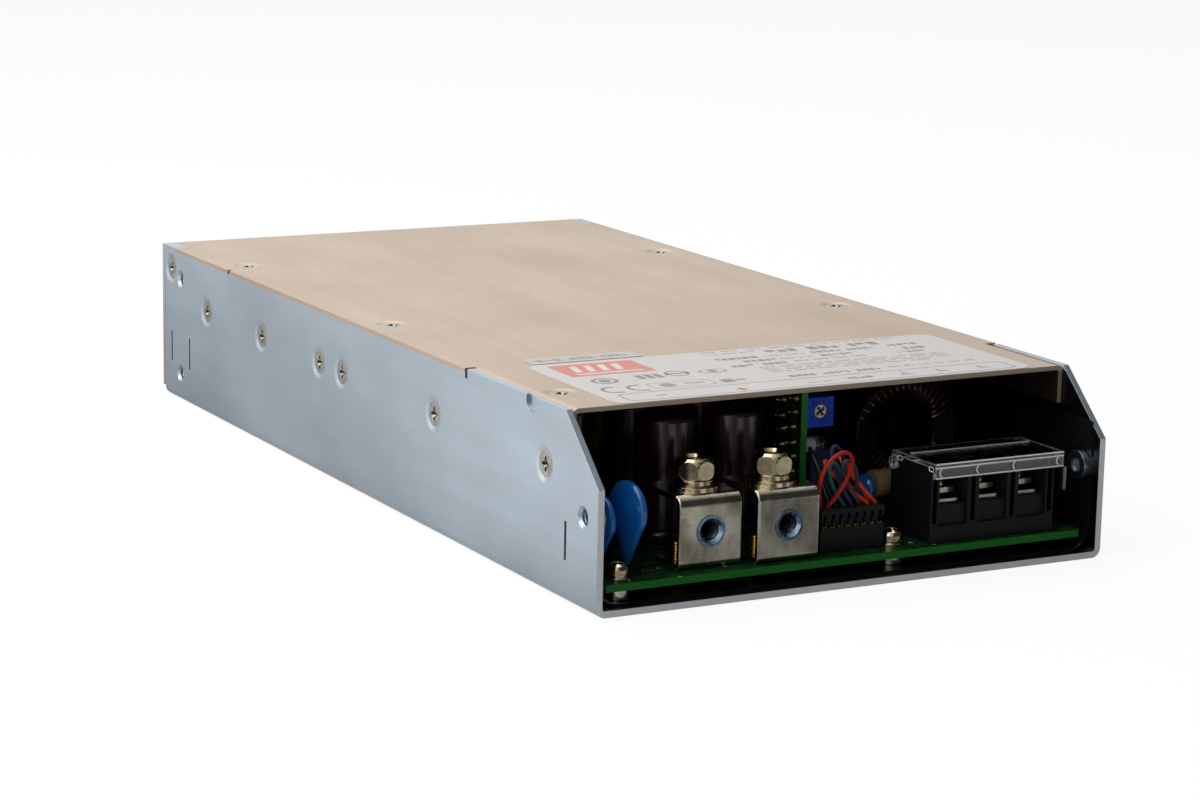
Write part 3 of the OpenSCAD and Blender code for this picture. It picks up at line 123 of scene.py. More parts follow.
def start(name, colour, metallic=0.0, roughness=0.5, **sockets):
    """A new material with its shader: plain values stand on the shader's own sockets."""
    mat = bpy.data.materials.new(name)
    mat.use_nodes = True
    shader = mat.node_tree.nodes["Principled BSDF"]
    shader.inputs["Base Color"].default_value = (*colour, 1)
    shader.inputs["Metallic"].default_value = metallic
    shader.inputs["Roughness"].default_value = roughness
    for key, value in sockets.items():
        shader.inputs[key.replace("_", " ")].default_value = value
    mat.diffuse_color = (*colour, 1)
    return mat, shader


def noise(mat, size_mm, stretch=(1, 1, 1), detail=3.0, coords=None):
    """Noise on Object coordinates; size_mm is the width of one blotch, stretch makes streaks."""
    coords = coords or add(mat, "ShaderNodeTexCoord")
    place = add(mat, "ShaderNodeMapping", values={"Scale": stretch}, links={"Vector": (coords, "Object")})
    return add(mat, "ShaderNodeTexNoise", values={"Scale": 1 / (size_mm * MM), "Detail": detail},
               links={"Vector": (place, 0)}), 0


def spread(mat, source, low, high, span=(0.3, 0.7)):
    """Brings an output from span to between low and high."""
    return add(mat, "ShaderNodeMapRange",
               values={"From Min": span[0], "From Max": span[1], "To Min": low, "To Max": high},
               links={"Value": source}), 0


def mix(mat, factor, a, b):
    """Mixes two colours, each an output or a plain colour, by an output."""
    made = add(mat, "ShaderNodeMix", {"data_type": "RGBA"}, links={0: factor})
    for key, value in ((6, a), (7, b)):
        if isinstance(value, tuple):
            mat.node_tree.links.new(value[0].outputs[value[1]], made.inputs[key])
        else:
            made.inputs[key].default_value = (*value, 1)
    return made, 2


def join(mat, shader, **links):
    """Links outputs to the shader's sockets."""
    for key, (source, out) in links.items():
        mat.node_tree.links.new(source.outputs[out], shader.inputs[key.replace("_", " ")])


def relief(mat, shader, height, depth_mm, round_mm=0.0):
    """Bump from a height, over edges rounded by round_mm."""
    bump = add(mat, "ShaderNodeBump", values={"Strength": 1.0, "Distance": depth_mm * MM}, links={"Height": height})
    if round_mm:
        edge = add(mat, "ShaderNodeBevel", {"samples": 4}, {"Radius": round_mm * MM})
        mat.node_tree.links.new(edge.outputs[0], bump.inputs["Normal"])
    join(mat, shader, Normal=(bump, 0))


def finish(name, colour, other, metallic=0.0, rough=(0.4, 0.5), size_mm=3.0, stretch=(1, 1, 1),
           grain_mm=0.4, depth_mm=0.01, round_mm=0.1, **sockets):
    """A finish with slow colour change, uneven gloss and fine grain."""
    mat, shader = start(name, colour, metallic, sum(rough) / 2, **sockets)
    slow = noise(mat, size_mm, stretch)
    fine = noise(mat, grain_mm, stretch, 2.0)
    join(mat, shader, Base_Color=mix(mat, spread(mat, slow, 0, 1), colour, other),
         Roughness=spread(mat, fine, *rough))
    relief(mat, shader, fine, depth_mm, round_mm)
    return mat


def facing(mat, coords, axis):
    """1 where the surface faces along an axis of the object, either way."""
    split = add(mat, "ShaderNodeSeparateXYZ", links={0: (coords, "Normal")})
    return calc(mat, "GREATER_THAN", calc(mat, "ABSOLUTE", (split, axis)), 0.9)


def inside(mat, place):
    """1 on the faces within the case: between the walls, above the base, under the top and before the rear wall."""
    half, base, top, rear = ROOM
    least = None
    for out, sign, limit in ((0, 1.0, half), (0, -1.0, half), (2, 1.0, -base), (2, -1.0, top), (1, -1.0, rear)):
        room = calc(mat, "MULTIPLY_ADD", (place, out), sign, limit * MM)
        least = calc(mat, "MINIMUM", least, room) if least else room
    return calc(mat, "GREATER_THAN", least, 0.0)


# ---- Materials, each named for the real material and how its surface was made ----

def sheet_metal(name, colour, other, cut, rough, end_mm):
    """Rolled sheet: streaks along Y, fine mottling, sheared ends that are rough and pale (partly a painted highlight
    on the front-facing edges), and painted shade that darkens the faces within the case.
    """
    mat, shader = start(name, colour, 1.0, 0.35)
    coords = add(mat, "ShaderNodeTexCoord")
    streak = noise(mat, 5, (1, 0.08, 1), 4.0, coords)
    cloud = noise(mat, 26, (1, 0.5, 1), 3.0, coords)
    mottle = noise(mat, 0.7, (1, 1, 1), 3.0, coords)
    tone = mix(mat, spread(mat, cloud, 0, 0.7), colour, other)
    tone = mix(mat, spread(mat, streak, 0, 0.35), tone, other)
    place = add(mat, "ShaderNodeSeparateXYZ", links={0: (coords, "Object")})
    # Sheared ends: rough, with a tone of their own; on the case the pale tone is also a painted highlight on the
    # front-facing edges
    outer = calc(mat, "GREATER_THAN", calc(mat, "ABSOLUTE", (place, 1)), end_mm * MM)
    ends = calc(mat, "MULTIPLY", facing(mat, coords, 1), outer)
    tone = mix(mat, ends, tone, cut)
    # Painted shade: the faces within the case are darkened to stand in for the shade among the parts, but not the
    # collars that stand in from the walls
    collar = calc(mat, "COMPARE", calc(mat, "ABSOLUTE", (place, 0)), 60.8 * MM, 1.1 * MM)
    within = calc(mat, "MULTIPLY", inside(mat, place), spread(mat, collar, 0.9, 0.25, span=(0, 1)))
    # Painted shade colour for the faces within the case
    tone = mix(mat, within, tone, linear("#28251f"))
    dull = calc(mat, "MULTIPLY_ADD", ends, 0.25, spread(mat, mottle, *rough), clamp=True)
    join(mat, shader, Base_Color=tone, Roughness=dull, Metallic=spread(mat, ends, 1.0, 0.35, span=(0, 1)))
    relief(mat, shader, mottle, 0.006, 0.25)
    return mat


def laminate(name, mask, edge, track_mm, random, line, between, axis, pads=False):
    """Glass-epoxy board: a glossy mask over raised copper tracks, darker between them, with tinned round pads where
    pads is set. The rims that face along Y and one other axis show the glass."""
    mat, shader = start(name, mask, 0.0, 0.3, IOR=1.5, Specular_IOR_Level=0.25)
    coords = add(mat, "ShaderNodeTexCoord")

    def cells(feature, size_mm, random):
        return add(mat, "ShaderNodeTexVoronoi", {"feature": feature},
                   {"Scale": 1 / (size_mm * MM), "Randomness": random}, {"Vector": (coords, "Object")}), "Distance"

    copper = calc(mat, "GREATER_THAN", cells("DISTANCE_TO_EDGE", track_mm, random), line)
    tone = mix(mat, copper, [c * between for c in mask], mask)
    if pads:
        tone = mix(mat, calc(mat, "LESS_THAN", cells("F1", 5, 0.75), 0.12), tone, linear("#b9b4a6"))
    sides = calc(mat, "MAXIMUM", facing(mat, coords, axis), facing(mat, coords, 1))
    weave = noise(mat, 0.5, (1, 1, 1), 2.0, coords)
    rim = mix(mat, spread(mat, weave, 0, 1), edge, [c * 0.7 for c in edge])
    join(mat, shader, Base_Color=mix(mat, sides, tone, rim), Roughness=spread(mat, weave, 0.26, 0.4))
    relief(mat, shader, copper, 0.03)
    return mat


def shrunk_sleeve(name, colour, stripe, mark):
    """Shrunk PVC sleeve on a can. The piece's UV map runs once round and once up: a pale stripe with long minus
    marks on its left side, and fine stretch lines round the can. Outside the sleeve (V over 0.9) is the bare lid."""
    mat, shader = start(name, colour, 0.0, 0.28, IOR=1.53, Coat_Weight=0.3, Coat_Roughness=0.1)
    uv = add(mat, "ShaderNodeUVMap", {"uv_map": "along"})
    split = add(mat, "ShaderNodeSeparateXYZ", links={0: (uv, 0)})
    wave = calc(mat, "FRACT", calc(mat, "MULTIPLY", (split, 1), 3.2))

    def field(half, reach):
        """1 within half of the stripe's middle and within reach of each mark's middle."""
        return calc(mat, "MULTIPLY", calc(mat, "COMPARE", (split, 0), 0.5, half),
                    calc(mat, "COMPARE", wave, 0.5, reach))

    outline = calc(mat, "SUBTRACT", field(0.022, 0.36), field(0.014, 0.34))
    fine = noise(mat, 1.2, (1, 1, 0.2))
    top = calc(mat, "GREATER_THAN", (split, 1), 0.9)
    tone = mix(mat, spread(mat, fine, 0, 1), colour, [c * 0.75 for c in colour])
    tone = mix(mat, calc(mat, "COMPARE", (split, 0), 0.5, 0.075), tone, stripe)
    tone = mix(mat, outline, tone, mark)
    tone = mix(mat, top, tone, linear("#b9bcc0"))
    join(mat, shader, Base_Color=tone, Metallic=top, Roughness=spread(mat, fine, 0.22, 0.34))
    relief(mat, shader, fine, 0.02)
    return mat


def clear_plastic(name, colour, rough):
    """Moulded polycarbonate: clear, with faint flow lines in its gloss; a painted highlight turns its rounded edges
    opaque white.
    """
    mat, shader = start(name, colour, 0.0, rough, IOR=1.58, Transmission_Weight=1.0)
    flow = noise(mat, 9, (1, 0.3, 1))
    edge = add(mat, "ShaderNodeBevel", {"samples": 6}, {"Radius": 0.5 * MM})
    true = add(mat, "ShaderNodeNewGeometry")
    same = add(mat, "ShaderNodeVectorMath", {"operation": "DOT_PRODUCT"}, links={0: (edge, 0), 1: (true, "Normal")})
    # Painted highlight: where the rounded-edge normal parts from the true normal, transmission falls and the edge
    # shows the pale base colour
    join(mat, shader, Roughness=spread(mat, flow, rough, rough + 0.03),
         Transmission_Weight=spread(mat, (same, "Value"), 0.08, 1.0, span=(0.85, 0.99)))
    relief(mat, shader, flow, 0.01)
    return mat


def scuffed_tin(name, colour, other):
    """Satin tin plate: cloudy tone, shallow dents, fine pits, and short bright scuffs that run across the strip."""
    mat, shader = start(name, colour, 1.0, 0.28)
    cloud = noise(mat, 3.0, (1, 1, 0.6), 4.0)
    scuff = noise(mat, 0.5, (0.12, 1, 1), 2.0)
    pits = noise(mat, 0.35)
    tone = mix(mat, spread(mat, cloud, 0, 1), colour, other)
    tone = mix(mat, spread(mat, scuff, 0, 0.35, span=(0.62, 0.7)), tone, linear("#f0ebe0"))
    dents = calc(mat, "MULTIPLY_ADD", noise(mat, 7.0, (1, 1, 1), 1.0), 9.0, pits)
    join(mat, shader, Base_Color=tone, Roughness=spread(mat, pits, 0.1, 0.22))
    relief(mat, shader, dents, 0.012, 0.2)
    return mat


def milky_plastic(name, colour):
    """Moulded nylon: pale, lets light in a little way."""
    mat, shader = start(name, colour, 0.0, 0.35, IOR=1.53, Subsurface_Weight=0.25, Subsurface_Scale=0.8 * MM)
    fine = noise(mat, 0.6)
    join(mat, shader, Base_Color=mix(mat, spread(mat, fine, 0, 1), colour, [c * 0.85 for c in colour]))
    relief(mat, shader, fine, 0.008)
    return mat


def printed_ink(name):
    """Screen-printed ink: its colour is the piece's own attribute, broken up by the film's fine grain."""
    mat, shader = start(name, linear("#8b8580"), 0.0, 0.45, IOR=1.5)
    ink = add(mat, "ShaderNodeAttribute", {"attribute_name": "ink"})
    fine = noise(mat, 0.35)
    join(mat, shader, Base_Color=mix(mat, spread(mat, fine, 0, 0.18), (ink, "Color"), linear("#dcd7d2")),
         Roughness=spread(mat, fine, 0.4, 0.5))
    return mat


def twisted_copper(name, colour, other):
    """Enamelled copper wire: varnish over copper, tone changing from turn to turn."""
    mat, shader = start(name, colour, 0.6, 0.25, IOR=1.5, Coat_Weight=0.7, Coat_Roughness=0.12)
    slow = noise(mat, 2.2)
    join(mat, shader, Base_Color=mix(mat, spread(mat, slow, 0, 1), colour, other),
         Roughness=spread(mat, slow, 0.2, 0.32))
    return mat


# Plain finishes by key: name, two tones, metallic, gloss range, width of a blotch, and what else differs
FINE = {"grain_mm": 0.3, "depth_mm": 0.004}
PLAIN = {
    "sticker": ("Paper_sticker_coated", "#d0ccc6", "#bdb8b1", 0, (0.4, 0.5), 4, {"depth_mm": 0.004, "round_mm": 0}),
    # Black polycarbonate film: smooth and glossy, shows its bend as one soft light line
    "film": ("Polycarbonate_film_black", "#0c0c0d", "#141416", 0, (0.24, 0.34), 12,
             {"depth_mm": 0.004, "round_mm": 0, "IOR": 1.58}),
    # Bright zinc plate: small turned parts, smooth with fine machining lines
    "zinc": ("Steel_zinc_plated", "#d6d1c4", "#b3ad9f", 1, (0.07, 0.16), 1.5,
             {"stretch": (1, 1, 3), "grain_mm": 0.25, "depth_mm": 0.003}),
    # Zinc plate on the sheet screws: greyer, so that the cross and the head's rim stand out
    "screw": ("Steel_zinc_grey", "#a9a79e", "#807e76", 1, (0.08, 0.18), 1.2,
              {"grain_mm": 0.25, "depth_mm": 0.003, "round_mm": 0.12}),
    # Nickel plate on the bolts: bright, slightly warm, soft rounded edges
    "bolt": ("Steel_nickel_plated", "#d3c6a6", "#ab9c7c", 1, (0.04, 0.1), 1.5,
             {"grain_mm": 0.3, "depth_mm": 0.002, "round_mm": 0.2}),
    # Blue passivated zinc: a cool ring round each nut
    "blue_zinc": ("Steel_zinc_blue_passivated", "#9db2c8", "#647c96", 1, (0.05, 0.13), 1.2, FINE),
    # Tapped thread in the nuts: darker than the plating, as painted shade in the depth of the bore
    "thread": ("Steel_tapped_thread_painted_shade", "#6f7884", "#4e555e", 1, (0.3, 0.42), 0.8, {**FINE, "round_mm": 0}),
    "brass": ("Brass_turned", "#d3a64a", "#b5822c", 1, (0.2, 0.3), 1, {"depth_mm": 0.003}),
    # Extruded bar: dull, with long die lines
    "bar": ("Aluminium_extruded", "#b4b7b9", "#a0a3a6", 1, (0.35, 0.5), 2, {"stretch": (1, 0.1, 1)}),
    "spring": ("Spring_steel_tempered", "#8f9499", "#70757a", 1, (0.3, 0.4), 2, {}),
    # Moulded glass-filled nylon: near black, fine spark-eroded grain
    "black": ("Nylon_moulded_black", "#070708", "#0b0b0d", 0, (0.45, 0.58), 6,
              {"grain_mm": 0.22, "depth_mm": 0.012, "round_mm": 0.15, "IOR": 1.53, "Specular_IOR_Level": 0.35}),
    "epoxy": ("Epoxy_moulded_black", "#1b1b1d", "#232326", 0, (0.5, 0.62), 2, {"grain_mm": 0.2, "depth_mm": 0.015}),
    # The cover's moulded marks, frosted white, and its white lines that are painted highlights on its edges: the same
    # plastic as the cover
    "frost": ("Polycarbonate_frosted_ridge_and_highlight", "#fbfbff", "#eeeef8", 0, (0.15, 0.25), 2,
              {**FINE, "round_mm": 0, "IOR": 1.58}),
    # Dipped epoxy coat: deep blue, thick and glossy, slightly uneven
    "dipped": ("Epoxy_dipped_blue", "#0f62b4", "#176cbe", 0, (0.14, 0.2), 6,
               {"grain_mm": 3, "depth_mm": 0.02, "IOR": 1.55, "Coat_Weight": 0.6, "Coat_Roughness": 0.05}),
    "ferrite": ("Ferrite_sintered", "#333335", "#3f3f41", 0.2, (0.5, 0.65), 3, {"grain_mm": 0.3, "depth_mm": 0.02}),
    "tape": ("Polyester_tape_wound", "#c9a83a", "#b28f28", 0, (0.25, 0.35), 6,
             {"stretch": (1, 1, 6), "Coat_Weight": 0.3}),
    "core_green": ("Iron_powder_core_coated", "#16261d", "#101c15", 0, (0.4, 0.5), 3, {}),
    "core_yellow": ("Iron_powder_core_yellow", "#b9a24c", "#a38c3a", 0, (0.4, 0.5), 3, {}),
    # Saturated thermoset with hardly any sheen
    "trim_blue": ("Thermoset_moulded_blue", "#0a4ce6", "#0842ce", 0, (0.35, 0.45), 2,
                  {"grain_mm": 0.3, "depth_mm": 0.008, "Specular_IOR_Level": 0.2}),
    "trim_grey": ("Zinc_alloy_rotor", "#c4c7ca", "#9fa3a7", 0.8, (0.25, 0.4), 0.8, {}),
    # Black ink for the trimmer's printed dial, and also the painted shade of its driver cross
    "mark": ("Ink_black_printed_and_painted_shade", "#10131c", "#1a1e2a", 0, (0.4, 0.5), 1, {"depth_mm": 0.002, "round_mm": 0}),
    "navy": ("Polyester_case_navy", "#12305f", "#173a70", 0, (0.3, 0.4), 4, {"depth_mm": 0.008}),
    # Woven sleeve: matt, with threads across
    "fibre": ("Fibre_sleeve_tan", "#b09a78", "#97805e", 0, (0.6, 0.75), 1.5,
              {"stretch": (0.2, 1, 1), "grain_mm": 0.3, "depth_mm": 0.03}),
    "solder": ("Solder_tinned_joint", "#8d806c", "#5c5142", 1, (0.22, 0.36), 0.8, {}),
}
WIRE_COLOURS = {"red": "#b51d10", "black_wire": "#17171a", "teal": "#135c55", "purple": "#37265f",
                "grey": "#3b3e44", "orange": "#e0451a"}


def make_materials(look):
    """Every finish of the supply, by the name that the pieces use."""
    L = linear
    m = {key: finish(name, L(colour), L(other), metallic, rough, size_mm, **rest)
         for key, (name, colour, other, metallic, rough, size_mm, rest) in PLAIN.items()}
    # The case's pale cut tone is partly a painted highlight that lights its front-facing sheared edges
    m["case"] = sheet_metal("Aluminium_rolled_sheet", look.case_colour, L("#98a1a9"), L("#e3e6e9"), (0.28, 0.4), 124.9)
    m["lid"] = sheet_metal("Steel_sheet_chromated", look.lid_colour, L("#ab977f"), L("#a89b8a"), (0.34, 0.46), 95)
    # Coated polyester film: white with a hint of warmth, soft gloss
    m["label"] = finish("Polyester_label_film", look.label_colour, L("#d3cdc8"), 0, (0.32, 0.4), 8,
                        depth_mm=0.003, round_mm=0, IOR=1.6)
    m["ink"] = printed_ink("Ink_screen_printed")
    m["board"] = laminate("Glass_epoxy_board", look.board_colour, L("#067818"), 7, 0.9, 0.07, 0.5, 0, pads=True)
    m["upright"] = laminate("Glass_epoxy_board_upright", look.board_colour, L("#088f20"), 4, 1.0, 0.09, 0.45, 2)
    m["tin"] = scuffed_tin("Copper_tin_plated", L("#dad6c5"), L("#a39f8e"))
    m["clear"] = clear_plastic("Polycarbonate_clear_moulded", L("#f4f4fa"), 0.02)
    m["lamp"] = clear_plastic("Epoxy_lamp_clear", L("#e8f0f2"), 0.06)
    m["milky"] = milky_plastic("Nylon_spacer_milky", L("#f0f7fa"))
    m["sleeve"] = shrunk_sleeve("PVC_sleeve_maroon", look.sleeve_colour, L("#4b4a50"), L("#232023"))
    m["bulk"] = shrunk_sleeve("PVC_sleeve_black", L("#141416"), L("#55555a"), L("#1a1a1c"))
    m["copper"] = twisted_copper("Copper_wire_enamelled", L("#42190a"), L("#260c04"))
    for key, colour in WIRE_COLOURS.items():
        # Extruded PVC cover: even colour with faint drawing lines
        m[key] = finish("PVC_cover_" + key, L(colour), [c * 0.8 for c in L(colour)], 0, (0.34, 0.44), 2,
                        IOR=1.53, Specular_IOR_Level=0.3, **FINE)
    return m


FINISHES = {}


def paint(names, key):
    """Gives CAD nodes their material, in their own slots."""
    for name in names.split():
        node = NODES[name]
        if not node.material_slots:
            node.data.materials.append(FINISHES[key])
        for slot in node.material_slots:
            slot.material = FINISHES[key]


# ---- Surfaces ----

def unit(a):
    """Vectors of length one."""
    return a / np.linalg.norm(a, axis=-1, keepdims=True)


def grid(p, uv=None, wrap=True):
    """Quads over a grid of points p[i, j]: j closes on itself where wrap is set; the first and last rows may be poles.
    UV runs along i and j."""
    n, k = p.shape[:2]
    cols = k if wrap else k - 1
    i, j = np.meshgrid(np.arange(n - 1), np.arange(cols), indexing="ij")
    j2 = (j + 1) % k
    faces = np.stack([i * k + j, i * k + j2, (i + 1) * k + j2, (i + 1) * k + j], -1).reshape(-1, 4)
    u = np.stack([j / cols, (j + 1) / cols, (j + 1) / cols, j / cols], -1)
    v = np.stack([i, i, i + 1, i + 1], -1) / (n - 1)
    return p.reshape(-1, 3), faces, np.stack([u, v], -1).reshape(-1, 2)


def piece(name, parts, key, body="case", stands_for=(), smooth=40, ink=None):
    """One object from several grids, in metres: doubles merged, faces outwards, riding on its body."""
    counts = np.cumsum([0] + [len(p[0]) for p in parts])
    points = np.concatenate([p[0] for p in parts]) * MM
    faces = np.concatenate([p[1] + c for p, c in zip(parts, counts)])
    along = np.concatenate([p[2] for p in parts])
    mesh = bpy.data.meshes.new(name)
    mesh.from_pydata(points, [], faces.tolist())
    layer = mesh.uv_layers.new(name="along")
    layer.data.foreach_set("uv", along.astype(np.float32).ravel())
    if ink is not None:
        attribute = mesh.color_attributes.new("ink", "FLOAT_COLOR", "POINT")
        attribute.data.foreach_set("color", np.asarray(ink, np.float32).ravel())
    work = bmesh.new()
    work.from_mesh(mesh)
    if ink is None:
        bmesh.ops.remove_doubles(work, verts=work.verts, dist=1e-7)
        bmesh.ops.dissolve_degenerate(work, edges=work.edges, dist=1e-8)
        bmesh.ops.recalc_face_normals(work, faces=work.faces)
    work.to_mesh(mesh)
    work.free()
    mesh.polygons.foreach_set("use_smooth", np.ones(len(mesh.polygons), bool))
    mesh.set_sharp_from_angle(angle=math.radians(smooth))
    obj = bpy.data.objects.new(name, mesh)
    bpy.context.scene.collection.objects.link(obj)
    mesh.materials.append(FINISHES[key])
    if stands_for:
        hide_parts(*stands_for)
    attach(obj, body)
    return obj


def sweep(path, radius, sides=16, cap=True):
    """A round tube: circles of the given radius carried along a path, each turned from the last by the least angle.
    With cap, its ends close in a half ball."""
    path = np.asarray(path, float)
    n = len(path)
    along = unit(np.gradient(path, axis=0))
    side = np.zeros((n, 3))
    side[0] = unit(np.cross(along[0], [0.31, 0.17, 0.93] if abs(along[0, 2]) < 0.9 else [1, 0.1, 0]))
    for i in range(1, n):
        s = side[i - 1] - along[i] * (side[i - 1] @ along[i])
        side[i] = s / np.linalg.norm(s)
    up = np.cross(along, side)
    radii = np.full(n, float(radius)) if np.ndim(radius) == 0 else np.asarray(radius, float)
    if cap:
        t = np.linspace(0, math.pi / 2, 4)
        path = np.concatenate([path[:1] - along[:1] * (radii[0] * np.cos(t))[:, None], path[1:-1],
                               path[-1:] + along[-1:] * (radii[-1] * np.sin(t))[:, None]])
        side = np.concatenate([np.repeat(side[:1], 4, 0), side[1:-1], np.repeat(side[-1:], 4, 0)])
        up = np.concatenate([np.repeat(up[:1], 4, 0), up[1:-1], np.repeat(up[-1:], 4, 0)])
        radii = np.concatenate([radii[0] * np.sin(t), radii[1:-1], radii[-1] * np.cos(t)])
    a = np.linspace(0, TAU, sides, endpoint=False)
    ring = np.cos(a)[None, :, None] * side[:, None] + np.sin(a)[None, :, None] * up[:, None]
    return grid(path[:, None] + ring * radii[:, None, None])


def revolve(profile, place, sides=48, axis="z", shape=None):
    """A profile of (radius, height) turned about an axis through place; shape may move the points first."""
    r, h = np.asarray(profile, float).T
    a = np.linspace(0, TAU, sides, endpoint=False)
    p = np.stack([r[:, None] * np.cos(a), r[:, None] * np.sin(a), np.repeat(h[:, None], sides, 1)], -1)
    if shape:
        p = shape(p)
    if axis == "x":
        p = p[..., [2, 0, 1]]
    if axis == "y":
        p = p[..., [1, 2, 0]]
    return grid(p + np.asarray(place, float))


def pad(low, high, r, fine=4):
    """A box with round edges: the points of a ball of radius r, each moved out by the half sizes of the box inside."""
    low, high = np.asarray(low, float), np.asarray(high, float)
    q = np.linspace(0, math.pi / 2, fine)
    lat = np.concatenate([q - math.pi / 2, q])
    lon = np.concatenate([q, q + math.pi / 2, q + math.pi, q + 1.5 * math.pi])
    n = np.stack([np.cos(lat)[:, None] * np.cos(lon), np.cos(lat)[:, None] * np.sin(lon),
                  np.repeat(np.sin(lat)[:, None], len(lon), 1)], -1)
    sx = np.repeat([1, -1, -1, 1], fine)[None, :]
    sy = np.repeat([1, 1, -1, -1], fine)[None, :]
    sz = np.repeat([-1, 1], fine)[:, None]
    s = np.stack([np.broadcast_to(k, n.shape[:2]) for k in (sx, sy, sz)], -1)
    p = (low + high) / 2 + s * ((high - low) / 2 - r) + r * n
    centre = (low + high) / 2
    ends = [np.broadcast_to([centre[0], centre[1], z], (1, p.shape[1], 3)) for z in (low[2], high[2])]
    return grid(np.concatenate([ends[0], p, ends[1]]))


def helix_surface(radius, depth, pitch, low, high, place, axis="z", per_turn=24, inside=False):
    """A screw thread: a cylinder whose radius falls and rises with height less angle, once a pitch.
    inside makes the wall of a threaded hole; a solid stud also closes at its top and foot."""
    a = np.linspace(0, TAU, per_turn, endpoint=False)
    h = np.arange(low, high + 1e-6, pitch / 8)
    phase = (h[:, None] / pitch - a[None] / TAU) % 1.0
    tooth = np.abs(phase * 2 - 1)
    if inside:
        r = radius - depth * (1 - tooth)
    else:
        fade = np.clip((high - h) / (pitch * 0.8), 0.35, 1)[:, None]
        r = (radius - depth) * (1 - fade) + (radius - depth * tooth) * fade
    p = np.stack([r * np.cos(a), r * np.sin(a), np.repeat(h[:, None], per_turn, 1)], -1)
    if not inside:
        p = np.concatenate([[np.tile([0, 0, low], (per_turn, 1))], p, [np.tile([0, 0, high], (per_turn, 1))]])
    if axis == "y":
        p = p[..., [1, 2, 0]]
    if axis == "x":
        p = p[..., [2, 0, 1]]
    return grid(p + np.asarray(place, float))


def flat(points, z):
    """Points of X and Y laid flat at height z."""
    p = np.asarray(points, float)
    return np.concatenate([p, np.full((*p.shape[:-1], 1), z)], -1)


# ---- What a user would change ----

class SupplyLook(bpy.types.PropertyGroup):
    case_colour: FloatVectorProperty(name="Case colour", description="Tint of the aluminium sheet", subtype="COLOR",
                                     size=3, min=0, max=1, default=linear("#b3c0cb"))
    lid_colour: FloatVectorProperty(name="Lid colour", description="Tint of the chromated steel lid", subtype="COLOR",
                                    size=3, min=0, max=1, default=linear("#c3b09f"))
    label_colour: FloatVectorProperty(name="Label colour", description="Colour of the label film", subtype="COLOR",
                                      size=3, min=0, max=1, default=linear("#d6d3d2"))
    board_colour: FloatVectorProperty(name="Board colour", description="Colour of the solder mask", subtype="COLOR",
                                      size=3, min=0, max=1, default=linear("#123c1c"))
    sleeve_colour: FloatVectorProperty(name="Sleeve colour", description="Colour of the output capacitors' sleeves",
                                       subtype="COLOR", size=3, min=0, max=1, default=linear("#2b0c10"))
    wire: FloatProperty(name="Wire diameter", description="Diameter of the covered jumper wires", subtype="DISTANCE",
                        unit="LENGTH", default=0.9 * MM, min=0.7 * MM, max=1.1 * MM)
    choke_turns: IntProperty(name="Choke turns", description="Turns on each half of the line choke", default=17,
                             min=8, max=20)


class SUPPLY_OT_base(bpy.types.Operator):
    """Shared by the operators of the supply"""
    bl_idname = "supply.base"
    bl_label = "Base"

    def execute(self, context):
        """Makes all finishes once."""
        FINISHES.update(make_materials(context.scene.supply_look))
        return {"FINISHED"}


def box_mm(node):
    """Low and high corner of a CAD node in millimetres."""
    low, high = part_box(node)
    return np.array(low) / MM, np.array(high) / MM


def islands(node):
    """Box of each separate solid of a CAD node, low and high corners in millimetres, in order of X then Y."""
    work = bmesh.new()
    work.from_mesh(NODES[node].data)
    bmesh.ops.remove_doubles(work, verts=work.verts, dist=1e-6)
    work.verts.ensure_lookup_table()
    seen, found = set(), []
    for v in work.verts:
        if v.index in seen:
            continue
        stack, group = [v], []
        seen.add(v.index)
        while stack:
            w = stack.pop()
            group.append(w.co)
            for e in w.link_edges:
                o = e.other_vert(w)
                if o.index not in seen:
                    seen.add(o.index)
                    stack.append(o)
        co = np.array(group) / MM
        found.append((co.min(0), co.max(0)))
    work.free()
    return sorted(found, key=lambda b: (round(b[0][0], 1), round(b[0][1], 1)))


class SUPPLY_OT_case(bpy.types.Operator):
    """Finishes of the chassis, lid, film, bars and plated screws"""
    bl_idname = "supply.case"
    bl_label = "Case"

    def execute(self, context):
        paint("chassis", "case")
        paint("lid", "lid")
        paint("insulating_film", "film")
        paint("side_screws lid_screws fan_screws", "screw")
        paint("standoffs", "zinc")
        paint("board_screws board_washers", "bolt")
        paint("output_heat_bar input_heat_bar right_heat_bar", "bar")
        paint("power_transistors bridge_rectifier", "epoxy")
        paint("transistor_clips", "spring")
        # Threads in the pressed collars of both walls
        threads = []
        c_low, c_high = box_mm("chassis")
        for x, turn, front in ((c_low[0], 1, FRONT_COLLARS[0]), (c_high[0], -1, FRONT_COLLARS[1])):
            for y, z in (front, *REAR_COLLARS):
                low, high = sorted((x + turn * COLLAR_FROM, x + turn * COLLAR_TO))
                threads.append(helix_surface(*COLLAR_THREAD, low, high, (0, c_low[1] + y, z), "x", inside=True))
        obj = piece("collar_threads", threads, "case", smooth=60)
        obj.data.flip_normals()
        return {"FINISHED"}


